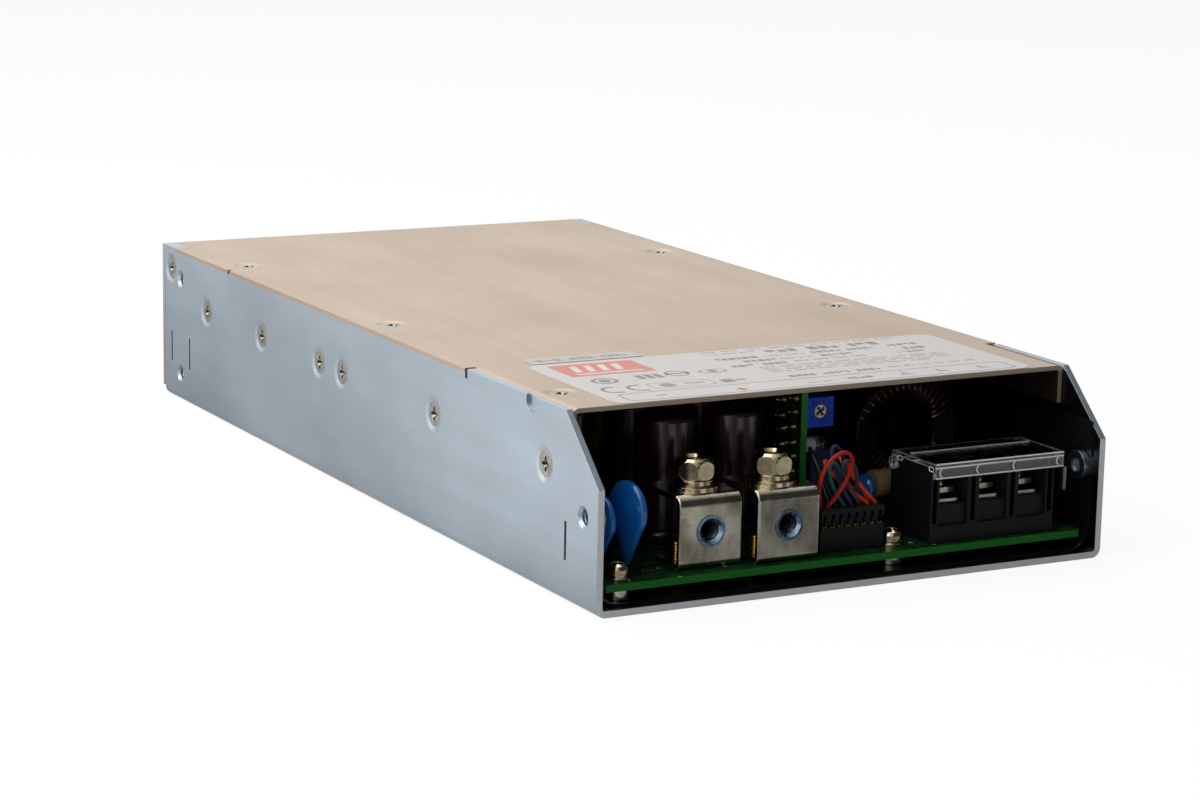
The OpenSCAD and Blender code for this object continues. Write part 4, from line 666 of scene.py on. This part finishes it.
class SUPPLY_OT_label(bpy.types.Operator):
    """Label film with printed fields, lines and outlines, and the strip sticker"""
    bl_idname = "supply.label"
    bl_label = "Label"

    def execute(self, context):
        paint("rating_label", "label")
        paint("strip_sticker", "sticker")
        z, y0 = box_mm("rating_label")[1][2] + PRINT_LIFT, box_mm("chassis")[0][1]
        grey, dark, coral, pale = (linear(c) for c in ("#968e87", "#827a73", "#dd7461", "#e9e2dd"))
        parts, ink = [], []
        rng = np.random.default_rng(3)

        def put(part, colour):
            parts.append(part)
            ink.append(np.tile([*colour, 1], (len(part[0]), 1)))

        def bar(xa, ya, xb, yb, colour=grey, lean=0.0, at=None):
            corners = [[[xa, y0 + ya], [xb, y0 + ya]], [[xa + lean, y0 + yb], [xb + lean, y0 + yb]]]
            put(grid(flat(corners, z if at is None else at), wrap=False), colour)

        def words(left, right, y, h, count, colour=grey, at=None):
            """A row of plain blocks in groups: as heavy as a printed line, but nothing to read."""
            gap = 0.9 * h + 0.3
            wide = (right - left + gap) / count
            for k in range(count):
                x, end = left + k * wide, left + (k + 1) * wide - gap
                while x < end - 0.3 * h:
                    w = min(h * rng.uniform(0.45, 0.95), end - x)
                    # Four blocks in ten may stop short of the line's foot or head
                    foot, head = 0, 0
                    if rng.random() >= 0.6:
                        foot, head = h * rng.choice([0, 0.35]), h * rng.choice([0, 0.3])
                    bar(x, y + foot, x + w, y + h - head, colour, at=at)
                    x += w + 0.16 * h + 0.06

        def loop(cx, cy, rx, ry, line, colour=grey, power=1.0, n=40):
            """An outline: two ovals one inside the other; power under 1 squares them off."""
            a = np.linspace(0, TAU, n, endpoint=False)
            c = np.sign(np.cos(a)) * np.abs(np.cos(a)) ** power
            s = np.sign(np.sin(a)) * np.abs(np.sin(a)) ** power
            rings = [np.stack([cx + (rx - d) * c, y0 + cy + (ry - d) * s], -1) for d in (0, line)]
            put(grid(flat(rings, z)), colour)

        def disc(cx, cy, r, colour=grey):
            loop(cx, cy, r, r, r * 0.99, colour)

        # Coral field at the left rear, with plain pale bars across it
        bar(-46.6, 44.1, -25.8, 56.7, coral)
        z += PRINT_LIFT / 2
        for k in range(4):
            bar(-43.6 + 3.4 * k, 48.3, -41.9 + 3.4 * k, 54.6, pale, 1.4)
        bar(-44.4, 45.7, -28, 46.8, pale)
        z -= PRINT_LIFT / 2
        for left, right, y, h, count in PRINT_ROWS:
            words(left, right, y, h, count, dark if h > 1.5 else grey)
        # Round and square marks in place of approval signs
        loop(-42.1, 37.9, 3.2, 2.9, 1.0, dark)
        disc(-42.1, 37.9, 1.4, dark)
        for k in range(3):
            bar(-33.8 + k * 2.2, 36.6, -32.2 + k * 2.2, 40.8, dark)
        loop(-23.5, 39.4, 2.9, 2.7, 0.6, dark)
        bar(-26.4, 38.9, -20.6, 39.9, dark)
        loop(-14.9, 38.7, 3.5, 2.1, 0.5, dark)
        disc(-14.9, 38.7, 1.1, dark)
        for x in (-44.6, -38.4):
            a = np.radians(np.linspace(70, 290, 22))
            rings = [np.stack([x + r * np.cos(a), y0 + 28.6 + r * np.sin(a)], -1) for r in (3.2, 2.3)]
            put(grid(flat(rings, z), wrap=False), dark)
        loop(-28.2, 28.9, 7.6, 2.9, 0.3, grey, power=0.25)
        disc(-31.6, 28.9, 1.9)
        words(-27.4, -22.6, 28.2, 1.4, 1)
        words(-18.6, -11.6, 26.6, 3.2, 1, dark)
        # Rounded legend strip along the front edge with its generic marks
        loop(2, 20.4, 49, 3.9, 0.4, dark, 0.16, 96)
        bar(-39.4, 19.8, -36.8, 20.5, dark)
        bar(-20.4, 18.8, -17.4, 19.5, coral)
        bar(-19.3, 17.6, -18.5, 20.7, coral)
        for x in (-2, 1.6):
            bar(x, 19.2, x + 2.6, 19.7, dark)
        words(8.6, 15.2, 19.4, 1.9, 1, dark)
        for k, half in enumerate((1.9, 1.3, 0.6)):
            bar(23.3 - half, 18.9 + 0.8 * k, 23.3 + half, 19.3 + 0.8 * k, dark)
        bar(23.1, 20.9, 23.5, 22.8, dark)
        for x in (33.1, 44):
            bar(x - 1.1, 19.2, x - 0.5, 21.8, dark)
            bar(x - 1.1, 19.2, x + 1.2, 19.8, dark)
        # The strip sticker: pale frame and one line of blocks
        s_low, s_high = box_mm("strip_sticker")
        at, y0 = s_high[2] + 0.006, 0
        for y in (s_low[1] + 0.5, s_high[1] - 0.9):
            bar(s_low[0] + 0.4, y, s_high[0] - 0.4, y + 0.4, pale, at=at)
        words(s_low[0] + 2, s_high[0] - 3, s_low[1] + 1.8, 2.2, 3, grey, at)
        piece("label_print", parts, "ink", ink=np.concatenate(ink))
        return {"FINISHED"}


class SUPPLY_OT_boards(bpy.types.Operator):
    """Main board and upright board with their solder joints and small parts"""
    bl_idname = "supply.boards"
    bl_label = "Boards"

    def execute(self, context):
        paint("main_board", "board")
        paint("control_board", "upright")
        low = box_mm("control_board")[0]
        x = low[0]
        joints, pins = [], []
        # Solder domes on the left face near the front edge, each round a cut pin
        profile = [[0, 0], [1.0, 0], [0.98, 0.1], [0.72, 0.38], [0.48, 0.75], [0.36, 1.0], [0, 1.06]]
        rng = np.random.default_rng(11)
        for col, z0, rows in ((2.6, 36.2, 6), (7.4, 34.9, 5)):
            for k in range(rows):
                y, z = low[1] + col + rng.uniform(-0.4, 0.4), z0 - 3.3 * k + rng.uniform(-0.3, 0.3)
                size = rng.uniform(0.9, 1.15)
                joints.append(revolve(np.array(profile) * [size, -1], (x, y, z), 16, "x"))
                end = [x - 1.9, y + rng.uniform(-0.4, 0.4), z + 0.2]
                pins.append(sweep([[x - 0.6, y, z], [x - 1.3, y, z], end], 0.25, 8))
        piece("board_solder_joints", joints, "solder")
        piece("board_pin_ends", pins, "zinc")
        # Small chip parts on both faces of the upright board and along the front of the main board
        chips, ends = [], []
        for k in range(26):
            y = low[1] + 10 + (k % 6) * 4.4 + rng.uniform(-0.5, 0.5)
            z = 12 + (k // 6) * 5.0 + rng.uniform(-0.5, 0.5)
            chips.append(pad((x - 0.6, y - 1, z - 0.6), (x - 0.02, y + 1, z + 0.6), 0.06, 2))
            for s in (-1.25, 0.9):
                ends.append(pad((x - 0.62, y + s, z - 0.62), (x - 0.01, y + s + 0.35, z + 0.62), 0.05, 2))
        b_low, b_high = box_mm("main_board")
        top = b_high[2]
        for cx, cy in BOARD_CHIPS:
            y = b_low[1] - 3 + cy
            chips.append(pad((cx - 1, y - 0.6, top + 0.01), (cx + 1, y + 0.6, top + 0.6), 0.06, 2))
            for s in (-1.25, 0.9):
                ends.append(pad((cx + s, y - 0.62, top), (cx + s + 0.35, y + 0.62, top + 0.62), 0.05, 2))
        piece("chip_parts", chips, "epoxy")
        piece("chip_ends", ends, "solder")
        # Cut leads under the main board's front edge
        stubs = []
        for cx in LEAD_STUBS:
            y = b_low[1] + 4 + (cx % 3)
            stubs.append(revolve([[0, 0], [0.9, 0], [0.6, -0.4], [0.3, -0.7], [0.3, -1.2], [0, -1.2]],
                                 (cx, y, b_low[2]), 10))
        piece("board_under_joints", stubs, "solder")
        return {"FINISHED"}


def rounded(node, name, key, width_mm, shortest_mm=0.0, body="case", corner_mm=0.0):
    """A merged copy of a CAD node whose sharp edges, from a shortest length up, are rounded off, and with them the
    corners of its front plate, which run through the sheet along Y."""
    mesh = NODES[node].data.copy()
    work = bmesh.new()
    work.from_mesh(mesh)
    bmesh.ops.remove_doubles(work, verts=work.verts, dist=2e-6)
    bmesh.ops.dissolve_limit(work, angle_limit=math.radians(1), verts=work.verts, edges=work.edges)
    if corner_mm:
        low, high = box_mm(node)
        through = []
        for edge in work.edges:
            a, b = edge.verts
            span = (b.co - a.co) / MM
            x = a.co.x / MM
            along = abs(span.y) > 0.99 * span.length and span.length < 2.5
            outer = min(abs(x - low[0]), abs(x - high[0])) < 0.05
            if along and outer and len(edge.link_faces) == 2 and edge.calc_face_angle() > math.radians(80):
                through.append(edge)
        bmesh.ops.bevel(work, geom=through, offset=corner_mm * MM, segments=5, affect="EDGES", profile=0.5)
    layer = work.edges.layers.float.new("bevel_weight_edge")
    for edge in work.edges:
        sharp = len(edge.link_faces) == 2 and edge.calc_face_angle() > math.radians(40)
        edge[layer] = float(sharp and edge.calc_length() >= shortest_mm * MM)
    work.to_mesh(mesh)
    work.free()
    obj = bpy.data.objects.new(name, mesh)
    bpy.context.scene.collection.objects.link(obj)
    soft = obj.modifiers.new("edges", "BEVEL")
    soft.width, soft.segments, soft.limit_method = width_mm * MM, 4, "WEIGHT"
    soft.use_clamp_overlap = False
    for face in mesh.polygons:
        face.use_smooth = False
    mesh.materials.clear()
    mesh.materials.append(FINISHES[key])
    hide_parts(node)
    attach(obj, body)
    return obj


class SUPPLY_OT_outputs(bpy.types.Operator):
    """Bent output lugs with bolts, clinch nuts, threads and brass studs"""
    bl_idname = "supply.outputs"
    bl_label = "Outputs"

    def execute(self, context):
        paint("minus_lug plus_lug", "tin")
        for lug in ("minus_lug", "plus_lug"):
            rounded(lug, lug + "_rounded", "tin", 0.45, 0.15, corner_mm=1.3)
        paint("lug_bolts lug_spring_washers lug_flat_washers terminal_screws", "bolt")
        paint("clinch_nuts", "blue_zinc")
        threads, studs = [], []
        for lug in ("minus_lug", "plus_lug"):
            low, high = box_mm(lug)
            cx = (low[0] + high[0]) / 2
            place = (cx, 0, low[2] + 8)
            threads.append(helix_surface(*NUT_THREAD, low[1] + 0.5, low[1] + 4.15, place, "y", 32, True))
        obj = piece("nut_threads", threads, "thread", smooth=60)
        obj.data.flip_normals()
        for low, high in islands("lug_studs"):
            place = (*((low + high) / 2)[:2], 0)
            foot = [[0, 0], [2.45, 0], [2.6, 0.15], [2.6, 1.05], [2.45, 1.2], [0, 1.2]]
            studs.append(revolve([[r, low[2] + h] for r, h in foot], place, 32))
            studs.append(helix_surface(*STUD_THREAD, low[2] + foot[-1][1], high[2], place))
        piece("threaded_studs", studs, "brass", stands_for=("lug_studs",), smooth=60)
        return {"FINISHED"}


class SUPPLY_OT_terminals(bpy.types.Operator):
    """Terminal block, plates, clamp washers and the hinged clear cover with its moulding marks and painted highlight
    lines
    """
    bl_idname = "supply.terminals"
    bl_label = "Terminals"

    def execute(self, context):
        paint("terminal_block", "black")
        paint("terminal_plates terminal_washers", "tin")
        paint("terminal_cover", "clear")
        low, high = box_mm("terminal_cover")
        # Small C-shaped ridges on the front lip, and two loops at its left end
        marks = []
        face = low[1] - 0.05
        t = np.radians(np.linspace(100, 260, 9))
        for x in (low[0] + 1.6, low[0] + 11.2, low[0] + 20.8, high[0] - 1.6):
            path = np.stack([x + 0.5 * np.cos(t), np.full(9, face), high[2] - 2.2 + 0.8 * np.sin(t)], -1)
            marks.append(sweep(path, 0.12, 8))
        t = np.radians(np.linspace(0, 360, 21))
        for y in (low[1] + 1.8, high[1] - 4.2):
            c, s = np.cos(t), np.sin(t)
            path = np.stack([np.full(21, low[0] + 0.08), y + 0.9 * np.sign(c) * np.abs(c) ** 0.4,
                             high[2] - 1.6 + 0.5 * np.sign(s) * np.abs(s) ** 0.4], -1)
            marks.append(sweep(path, 0.1, 8))
        # Painted highlights: white lines along the lip and the cover's top edges, standing in for light caught there
        for z in (high[2] - 0.3, high[2] - 1.1, high[2] - 3.4):
            marks.append(sweep([[low[0] + 0.3, face + 0.02, z], [high[0] - 0.3, face + 0.02, z]], 0.15, 8))
        piece("cover_marks_and_highlights", marks, "frost", body="terminal_flap")
        # The cover with its edges rounded off as moulded, so that they catch the light
        rounded("terminal_cover", "cover_rounded", "clear", 0.22, 0.3, "terminal_flap")
        return {"FINISHED"}


class SUPPLY_OT_capacitors(bpy.types.Operator):
    """Sleeved cans with stripes and vented lids, and dipped disc capacitors on their tails"""
    bl_idname = "supply.capacitors"
    bl_label = "Capacitors"

    def execute(self, context):
        def cans(node, key, name, vent):
            parts = []
            for low, high in islands(node):
                c, r, h = (low + high) / 2, (high[0] - low[0]) / 2, high[2] - low[2]
                side = [[0, 0], [r - 0.9, 0], [r - 0.35, 0.25], [r - 0.05, 0.9], [r - 0.02, 2.0], [r - 0.45, 2.5],
                        [r - 0.5, 2.9], [r - 0.05, 3.5], [r, h * 0.3], [r, h * 0.5], [r, h * 0.7], [r, h - 1.2],
                        [r - 0.1, h - 0.7], [r - 0.4, h - 0.25], [r - 1.0, h], [r - 1.5, h - 0.02], [r - 1.7, h - 0.2]]
                lid = [[k, h - 0.35] for k in np.linspace(r - 1.9, 0, 12)]

                def scored(p, r=r, h=h):
                    """The lid is pressed down along three lines that meet in the middle."""
                    q = p.copy()
                    d = np.full(p.shape[:2], 9.0)
                    for a in (0.5, 2.6, 4.7):
                        u = np.array([math.cos(a), math.sin(a)])
                        along = np.clip(p[..., :2] @ u, 0, r - 2)
                        d = np.minimum(d, np.linalg.norm(p[..., :2] - along[..., None] * u, axis=-1))
                    on_lid = (p[..., 2] > h - 0.5) & (np.linalg.norm(p[..., :2], axis=-1) < r - 1.8)
                    q[..., 2] -= np.where(on_lid, vent * np.exp(-(d / 0.5) ** 2), 0)
                    return q
                p, f, _ = revolve(side + lid, (0, 0, 0), 72, shape=scored)
                # V runs to 0.9 up the sleeve, then over it on the bare lid; the stripe stands at U = 0.5
                rows = len(side) + len(lid)
                v = np.concatenate([np.clip(np.array(side)[:, 1] / h, 0, 1) * 0.89, np.full(len(lid), 0.98)])
                i, j = np.meshgrid(np.arange(rows - 1), np.arange(72), indexing="ij")
                turn = 0.96
                u = np.stack([j / 72, (j + 1) / 72, (j + 1) / 72, j / 72], -1)
                u = (u - turn + 0.5) % 1.0
                u[..., 1] = np.where(u[..., 1] < u[..., 0], u[..., 1] + 1, u[..., 1])
                u[..., 2], u[..., 3] = u[..., 1], u[..., 0]
                w = np.stack([v[i], v[i], v[i + 1], v[i + 1]], -1)
                parts.append((p + np.array([c[0], c[1], low[2]]), f, np.stack([u, w], -1).reshape(-1, 2)))
            piece(name, parts, key, stands_for=(node,), smooth=35)

        rims = []
        for node in ("output_capacitors", "bulk_capacitors"):
            for low, high in islands(node):
                c, r = (low + high) / 2, (high[0] - low[0]) / 2 - 1.15
                a = np.linspace(0, TAU, 73)
                round_lid = [c[0] + r * np.cos(a), c[1] + r * np.sin(a), np.full(len(a), high[2] - 0.1)]
                rims.append(sweep(np.stack(round_lid, -1), 0.13, 8, False))
        piece("can_rims", rims, "zinc", smooth=60)
        cans("output_capacitors", "sleeve", "sleeved_output_capacitors", 0.25)
        cans("bulk_capacitors", "bulk", "sleeved_bulk_capacitors", 0.35)
        drops, leads = [], []
        for low, high in islands("disc_capacitors"):
            c, t = (low + high) / 2, high[0] - low[0]
            r = (high[1] - low[1]) / 2
            cz = high[2] - r
            a = np.linspace(0, TAU, 56, endpoint=False)
            b = np.linspace(0, math.pi, 29)
            y = np.sin(b)[:, None] * np.cos(a)
            z = np.sin(b)[:, None] * np.sin(a)
            x = np.broadcast_to(np.cos(b)[:, None], y.shape)
            # A ball flattened along X to a lens with a full rim, whose lower part is drawn down to a neck
            x = np.sign(x) * np.abs(x) ** 0.75 * t / 2
            y, z = y * r, z * r
            s = np.clip((-z / r - 0.35) / 0.65, 0, 1)
            y = y * (1 - 0.35 * s)
            x = x * (1 - 0.2 * s)
            reach = cz - r - low[2] - 0.6
            z = z - reach * s ** 2.2
            tail = np.clip((-z - r * 0.95) / max(reach, 0.1), 0, 1)
            y = y * (1 - 0.25 * tail)
            wobble = 0.12 * np.sin(3.1 * z / r + 1) * np.cos(2.3 * y / r)
            x = x + wobble * np.sign(x) * 0.5
            turn = math.radians(7)
            cos, sin = math.cos(turn), math.sin(turn)
            drops.append(grid(np.stack([x * cos - y * sin + c[0], x * sin + y * cos + c[1], z + cz], -1)))
            leads.append(sweep([[c[0], c[1] - 0.5, low[2] + h] for h in (1.4, 0.5, 0)], 0.3, 10, False))
        piece("dipped_disc_capacitors", drops, "dipped", stands_for=("disc_capacitors",))
        piece("disc_leads", leads, "solder")
        paint("box_capacitors relay", "navy")
        paint("line_fuse", "fibre")
        return {"FINISHED"}


def toroid(centre, axis, inner, outer, height, wire, turns, spans):
    """Wire wound round a ring: one path that goes round the ring's rounded square section turns times while it moves
    along the ring, swept with a round section. spans are the start and end angles of each winding."""
    parts = []
    for a0, a1 in spans:
        n = turns * 26
        u = np.linspace(0, 1, n)
        around = u * turns * TAU
        along = np.radians(a0 + (a1 - a0) * u)
        c, s = np.cos(around), np.sin(around)
        q = 0.55
        hw, hh = (outer - inner) / 2 + wire / 2, height / 2 + wire / 2
        r = (outer + inner) / 2 + hw * np.sign(c) * np.abs(c) ** q
        h = hh * np.sign(s) * np.abs(s) ** q
        p = np.stack([r * np.cos(along), r * np.sin(along), h], -1)
        if axis == "y":
            p = p[:, [0, 2, 1]]
        parts.append(sweep(p + centre, wire / 2 * 0.97, 8))
    return parts


class SUPPLY_OT_windings(bpy.types.Operator):
    """Wound chokes and transformer"""
    bl_idname = "supply.windings"
    bl_label = "Windings"

    def execute(self, context):
        look = context.scene.supply_look
        low, high = box_mm("line_choke_core")
        c, r, h = (low + high) / 2, (high[0] - low[0]) / 2, high[1] - low[1]
        halves = ((19, 161), (199, 341))
        piece("line_choke_turns", toroid(c, "y", r - 6.3, r, h, 1.3, look.choke_turns, halves), "copper",
              stands_for=("line_choke_winding",))
        low, high = box_mm("output_choke_core")
        c, r, h = (low + high) / 2, (high[0] - low[0]) / 2, high[2] - low[2]
        piece("output_choke_turns", toroid(c, "z", r - 5.8, r, h, 1.45, 22, ((-160, 165),)), "copper",
              stands_for=("output_choke_winding",))
        paint("line_choke_core", "core_green")
        paint("output_choke_core", "core_yellow")
        paint("transformer_core", "ferrite")
        paint("transformer_bobbin", "black")
        paint("transformer_winding", "tape")
        return {"FINISHED"}


def face_bar(centre, y, turn, ends, half):
    """A flat bar on a face along X and Z: between two distances along an angle from X, half its width to each side."""
    d, n = np.array([math.cos(turn), math.sin(turn)]), np.array([-math.sin(turn), math.cos(turn)])
    q = np.array([[centre + d * r + n * w for w in (half, -half)] for r in ends])
    return grid(np.stack([q[..., 0], np.full((2, 2), y), q[..., 1]], -1), wrap=False)


class SUPPLY_OT_controls(bpy.types.Operator):
    """Trimmer with its dial marks, lamp, header and plug with contacts"""
    bl_idname = "supply.controls"
    bl_label = "Controls"

    def execute(self, context):
        paint("trimmer_body", "trim_blue")
        paint("trimmer_rotor", "trim_grey")
        paint("led_spacer", "milky")
        paint("led", "lamp")
        paint("pin_header jumper_plug", "black")
        y = box_mm("trimmer_body")[0][1] - 0.01
        r_low, r_high = box_mm("trimmer_rotor")
        c = ((r_low + r_high) / 2)[[0, 2]]
        # Twelve ticks over 300 degrees, every third one longer, and a ring round the rotor
        dial = [face_bar(c, y, math.radians(150 - k * 300 / 11), (1.95, 2.7 if k % 3 else 3.0), 0.18)
                for k in range(12)]
        a = np.linspace(0, TAU, 40, endpoint=False)
        rings = [np.stack([c[0] + r * np.cos(a), np.full(40, y), c[1] + r * np.sin(a)], -1) for r in (1.53, 1.8)]
        piece("trimmer_dial", [*dial, grid(np.stack(rings))], "mark")
        # Painted shade: a flat dark cross on the rotor's face stands in for the shade in the depth of its driver slot
        cross = [face_bar(c, r_low[1] - 0.01, 0.35 + turn, (-0.2, 0.2), 1.1) for turn in (TAU / 4, TAU / 2)]
        piece("trimmer_cross_painted_shade", cross, "mark", body="trimmer")
        # Contacts that show at the foot of each slot of the plug
        p_low, p_high = box_mm("jumper_plug")
        h_low, h_high = box_mm("pin_header")
        contacts = []
        for k in range(PINS):
            pin = (p_low[0] + p_high[0]) / 2 + (k - (PINS - 1) / 2) * PIN_PITCH
            for x in (pin - 0.3, pin + 0.3):
                contacts.append(pad((x - 0.14, h_low[1] + 0.1, h_high[2] - 0.1),
                                    (x + 0.14, h_low[1] + 0.5, h_high[2] + 0.35), 0.08, 3))
        piece("plug_contacts", contacts, "brass")
        return {"FINISHED"}


def bend(a, b, pull_a, pull_b, n=40):
    """Points of a curve from a to b that leaves and arrives along two pulls: the four-point cubic."""
    t = np.linspace(0, 1, n)[:, None]
    a, b = np.asarray(a, float), np.asarray(b, float)
    pa, pb = a + np.asarray(pull_a, float), b + np.asarray(pull_b, float)
    return (1 - t) ** 3 * a + 3 * (1 - t) ** 2 * t * pa + 3 * (1 - t) * t ** 2 * pb + t ** 3 * b


# Wire loops: colour, node, and for each loop its two holes (pin, row) and the pulls at them, in millimetres
LOOPS = (
    ("red", "wire_red", (((0, 0), (1, 0), (-8, -7.4, 17.2), (12, -5.2, 17.2)),)),
    ("black_wire", "wire_black", (((2, 0), (2, 1), (-7, 3.1, 14.8), (2.2, 15.4, 14.8)),)),
    ("teal", "wire_teal", (((3, 0), (3, 1), (-10, 0, 13), (1, -5.2, 13)),)),
    ("purple", "wire_purple", (((4, 0), (4, 1), (-11.5, 1.5, 17.3), (0.6, -2.6, 17.3)),)),
    ("grey", "wire_grey", (((5, 0), (5, 1), (-11.5, 0, 13.5), (-0.2, -8, 13.5)),)),
    ("orange", "wire_orange", (((6, 0), (6, 1), (-12.8, 4.5, 9), (-10.6, 1.7, 15)),
                               ((7, 0), (7, 1), (-12, 3.9, 13), (-4.3, 7, 13)))),
)


class SUPPLY_OT_wires(bpy.types.Operator):
    """Covered jumper loops and the fan lead"""
    bl_idname = "supply.wires"
    bl_label = "Wires"

    def execute(self, context):
        look = context.scene.supply_look
        low, high = box_mm("jumper_plug")
        mid, top = (low[0] + high[0]) / 2, high[2]
        for key, node, loops in LOOPS:
            parts = []
            for one, two, pull_a, pull_b in loops:
                a, b = ((mid + (pin - (PINS - 1) / 2) * PIN_PITCH, low[1] + WIRE_ROWS[row], top + 0.15)
                        for pin, row in (one, two))
                foot = np.array([[0, 0, -1.35], [0, 0, -0.7]])
                path = np.concatenate([np.array(a) + foot, bend(a, b, pull_a, pull_b), np.array(b) + foot[::-1]])
                parts.append(sweep(path, look.wire / MM / 2, 16))
            piece(node + "_cover", parts, key, stands_for=(node,))
        paint("fan_lead", "red")
        return {"FINISHED"}


class SUPPLY_OT_fan(bpy.types.Operator):
    """Fan frame, coil and rotor"""
    bl_idname = "supply.fan"
    bl_label = "Fan"

    def execute(self, context):
        paint("fan_frame fan_rotor", "black")
        paint("fan_stator", "copper")
        return {"FINISHED"}


def floor_paper():
    """White paper. Metal sees it brightest at the left, fading to the back, dark close in front with pale strips."""
    mat, shader = start("Floor_white_paper", (0.8, 0.8, 0.8), 0, 0.9)
    join(mat, shader, Roughness=spread(mat, noise(mat, 2), 0.85, 0.95))
    path = add(mat, "ShaderNodeLightPath")
    where = add(mat, "ShaderNodeSeparateXYZ", links={0: (add(mat, "ShaderNodeTexCoord"), "Object")})
    side = calc(mat, "MULTIPLY", spread(mat, (where, 0), 1.5, 0.25, (-0.17, -0.03)),
                spread(mat, (where, 1), 1.15, 0.62, (-0.02, 0.2)))
    ahead = calc(mat, "ADD", (where, 1), 0.12)
    angle = calc(mat, "ARCTAN2", ahead, (where, 0))
    strips = calc(mat, "SINE", calc(mat, "MULTIPLY_ADD", angle, 7.0, 0.6))
    front = calc(mat, "MULTIPLY", spread(mat, strips, 0.1, 1.15, (-0.4, 0.5)),
                 spread(mat, ahead, 1.0, 0.15, (-0.16, -0.03)))
    near = spread(mat, (where, 1), 1.0, 0.0, (-0.16, -0.12))
    shine = add(mat, "ShaderNodeMix", links={0: near, 2: side, 3: front})
    power = add(mat, "ShaderNodeMix", values={3: 1.1}, links={0: (path, "Is Camera Ray"), 2: (shine, 0)})
    glow = add(mat, "ShaderNodeEmission", values={"Color": (1, 1, 1, 1)}, links={"Strength": (power, 0)})
    share = calc(mat, "MULTIPLY", calc(mat, "MAXIMUM", (path, "Is Camera Ray"), (path, "Is Glossy Ray")), 0.8)
    blend = add(mat, "ShaderNodeMixShader", links={0: share, 1: (shader, 0), 2: (glow, 0)})
    mat.node_tree.links.new(blend.outputs[0], mat.node_tree.nodes["Material Output"].inputs["Surface"])
    return mat


def studio_world():
    """White to the camera; for light, metal and glass it falls off from behind and above to the front."""
    world = bpy.data.worlds.new("Studio_white")
    world.use_nodes = True
    sky = add(world, "ShaderNodeTexCoord")
    dot = add(world, "ShaderNodeVectorMath", {"operation": "DOT_PRODUCT"}, {1: (-0.75, 0.65, 0.4)},
              {0: (sky, "Generated")})
    path = add(world, "ShaderNodeLightPath")
    soft = spread(world, (dot, "Value"), 0.05, 0.4, (-0.5, 0.5))
    shine = spread(world, (dot, "Value"), 0.04, 1.05, (-0.35, 0.36))
    seen = calc(world, "MAXIMUM", (path, "Is Glossy Ray"), (path, "Is Transmission Ray"))
    light = add(world, "ShaderNodeMix", links={0: seen, 2: soft, 3: shine})
    level = add(world, "ShaderNodeMix", values={3: 1.0}, links={0: (path, "Is Camera Ray"), 2: (light, 0)})
    back = world.node_tree.nodes["Background"]
    back.inputs["Color"].default_value = (1, 1, 1, 1)
    world.node_tree.links.new(level.outputs[0], back.inputs["Strength"])
    return world


class SUPPLY_OT_stage(bpy.types.Operator):
    """Floor, world light, lamps and camera"""
    bl_idname = "supply.stage"
    bl_label = "Stage"

    def execute(self, context):
        scene = context.scene
        scene.view_settings.view_transform = "Standard"
        # Floor: a wide disc, pale to the camera, that keeps the object's soft shadow
        disc = revolve([[0, 0], [400, 0], [1500, 0], [9000, 0]], (0, 0, -0.02), 64)
        mesh = bpy.data.meshes.new("floor")
        mesh.from_pydata(disc[0] * MM, [], disc[1].tolist())
        mesh.materials.append(floor_paper())
        floor = bpy.data.objects.new("floor", mesh)
        scene.collection.objects.link(floor)
        scene.world = studio_world()
        for name, place, size, watts in LAMPS:
            data = bpy.data.lights.new(name, "AREA")
            data.shape, data.size, data.energy = "DISK", size, watts
            lamp = bpy.data.objects.new(name, data)
            lamp.location = place
            lamp.rotation_euler = (Vector(LAMPS_AIM) - Vector(place)).to_track_quat("-Z", "Y").to_euler()
            scene.collection.objects.link(lamp)
        data = bpy.data.cameras.new("camera")
        data.lens, data.sensor_width = LENS, SENSOR
        data.clip_start, data.clip_end = 0.01, 50
        camera = bpy.data.objects.new("camera", data)
        scene.collection.objects.link(camera)
        camera.matrix_world = Matrix.Translation(CAMERA_PLACE) @ Matrix(CAMERA_TURN).to_4x4()
        scene.camera = camera
        return {"FINISHED"}


STEPS = (SUPPLY_OT_base, SUPPLY_OT_case, SUPPLY_OT_label, SUPPLY_OT_boards, SUPPLY_OT_outputs, SUPPLY_OT_terminals,
         SUPPLY_OT_capacitors, SUPPLY_OT_windings, SUPPLY_OT_controls, SUPPLY_OT_wires, SUPPLY_OT_fan, SUPPLY_OT_stage)


class SUPPLY_PT_panel(bpy.types.Panel):
    """Lists the steps and the sizes and colours"""
    bl_idname = "SUPPLY_PT_panel"
    bl_label = "Power Supply"
    bl_space_type = "VIEW_3D"
    bl_region_type = "UI"
    bl_category = "Power Supply"

    def draw(self, context):
        look = context.scene.supply_look
        for key in SupplyLook.__annotations__:
            self.layout.prop(look, key)
        for step in STEPS:
            self.layout.operator(step.bl_idname)


def register():
    for cls in (SupplyLook, *STEPS, SUPPLY_PT_panel):
        bpy.utils.register_class(cls)
    bpy.types.Scene.supply_look = PointerProperty(type=SupplyLook)


def unregister():
    del bpy.types.Scene.supply_look
    for cls in reversed((SupplyLook, *STEPS, SUPPLY_PT_panel)):
        bpy.utils.unregister_class(cls)


def main():
    """Dresses the frame step by step."""
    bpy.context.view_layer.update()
    register()
    for step in STEPS:
        area, name = step.bl_idname.split(".")
        getattr(getattr(bpy.ops, area), name)()


if __name__ == "__main__":
    main()
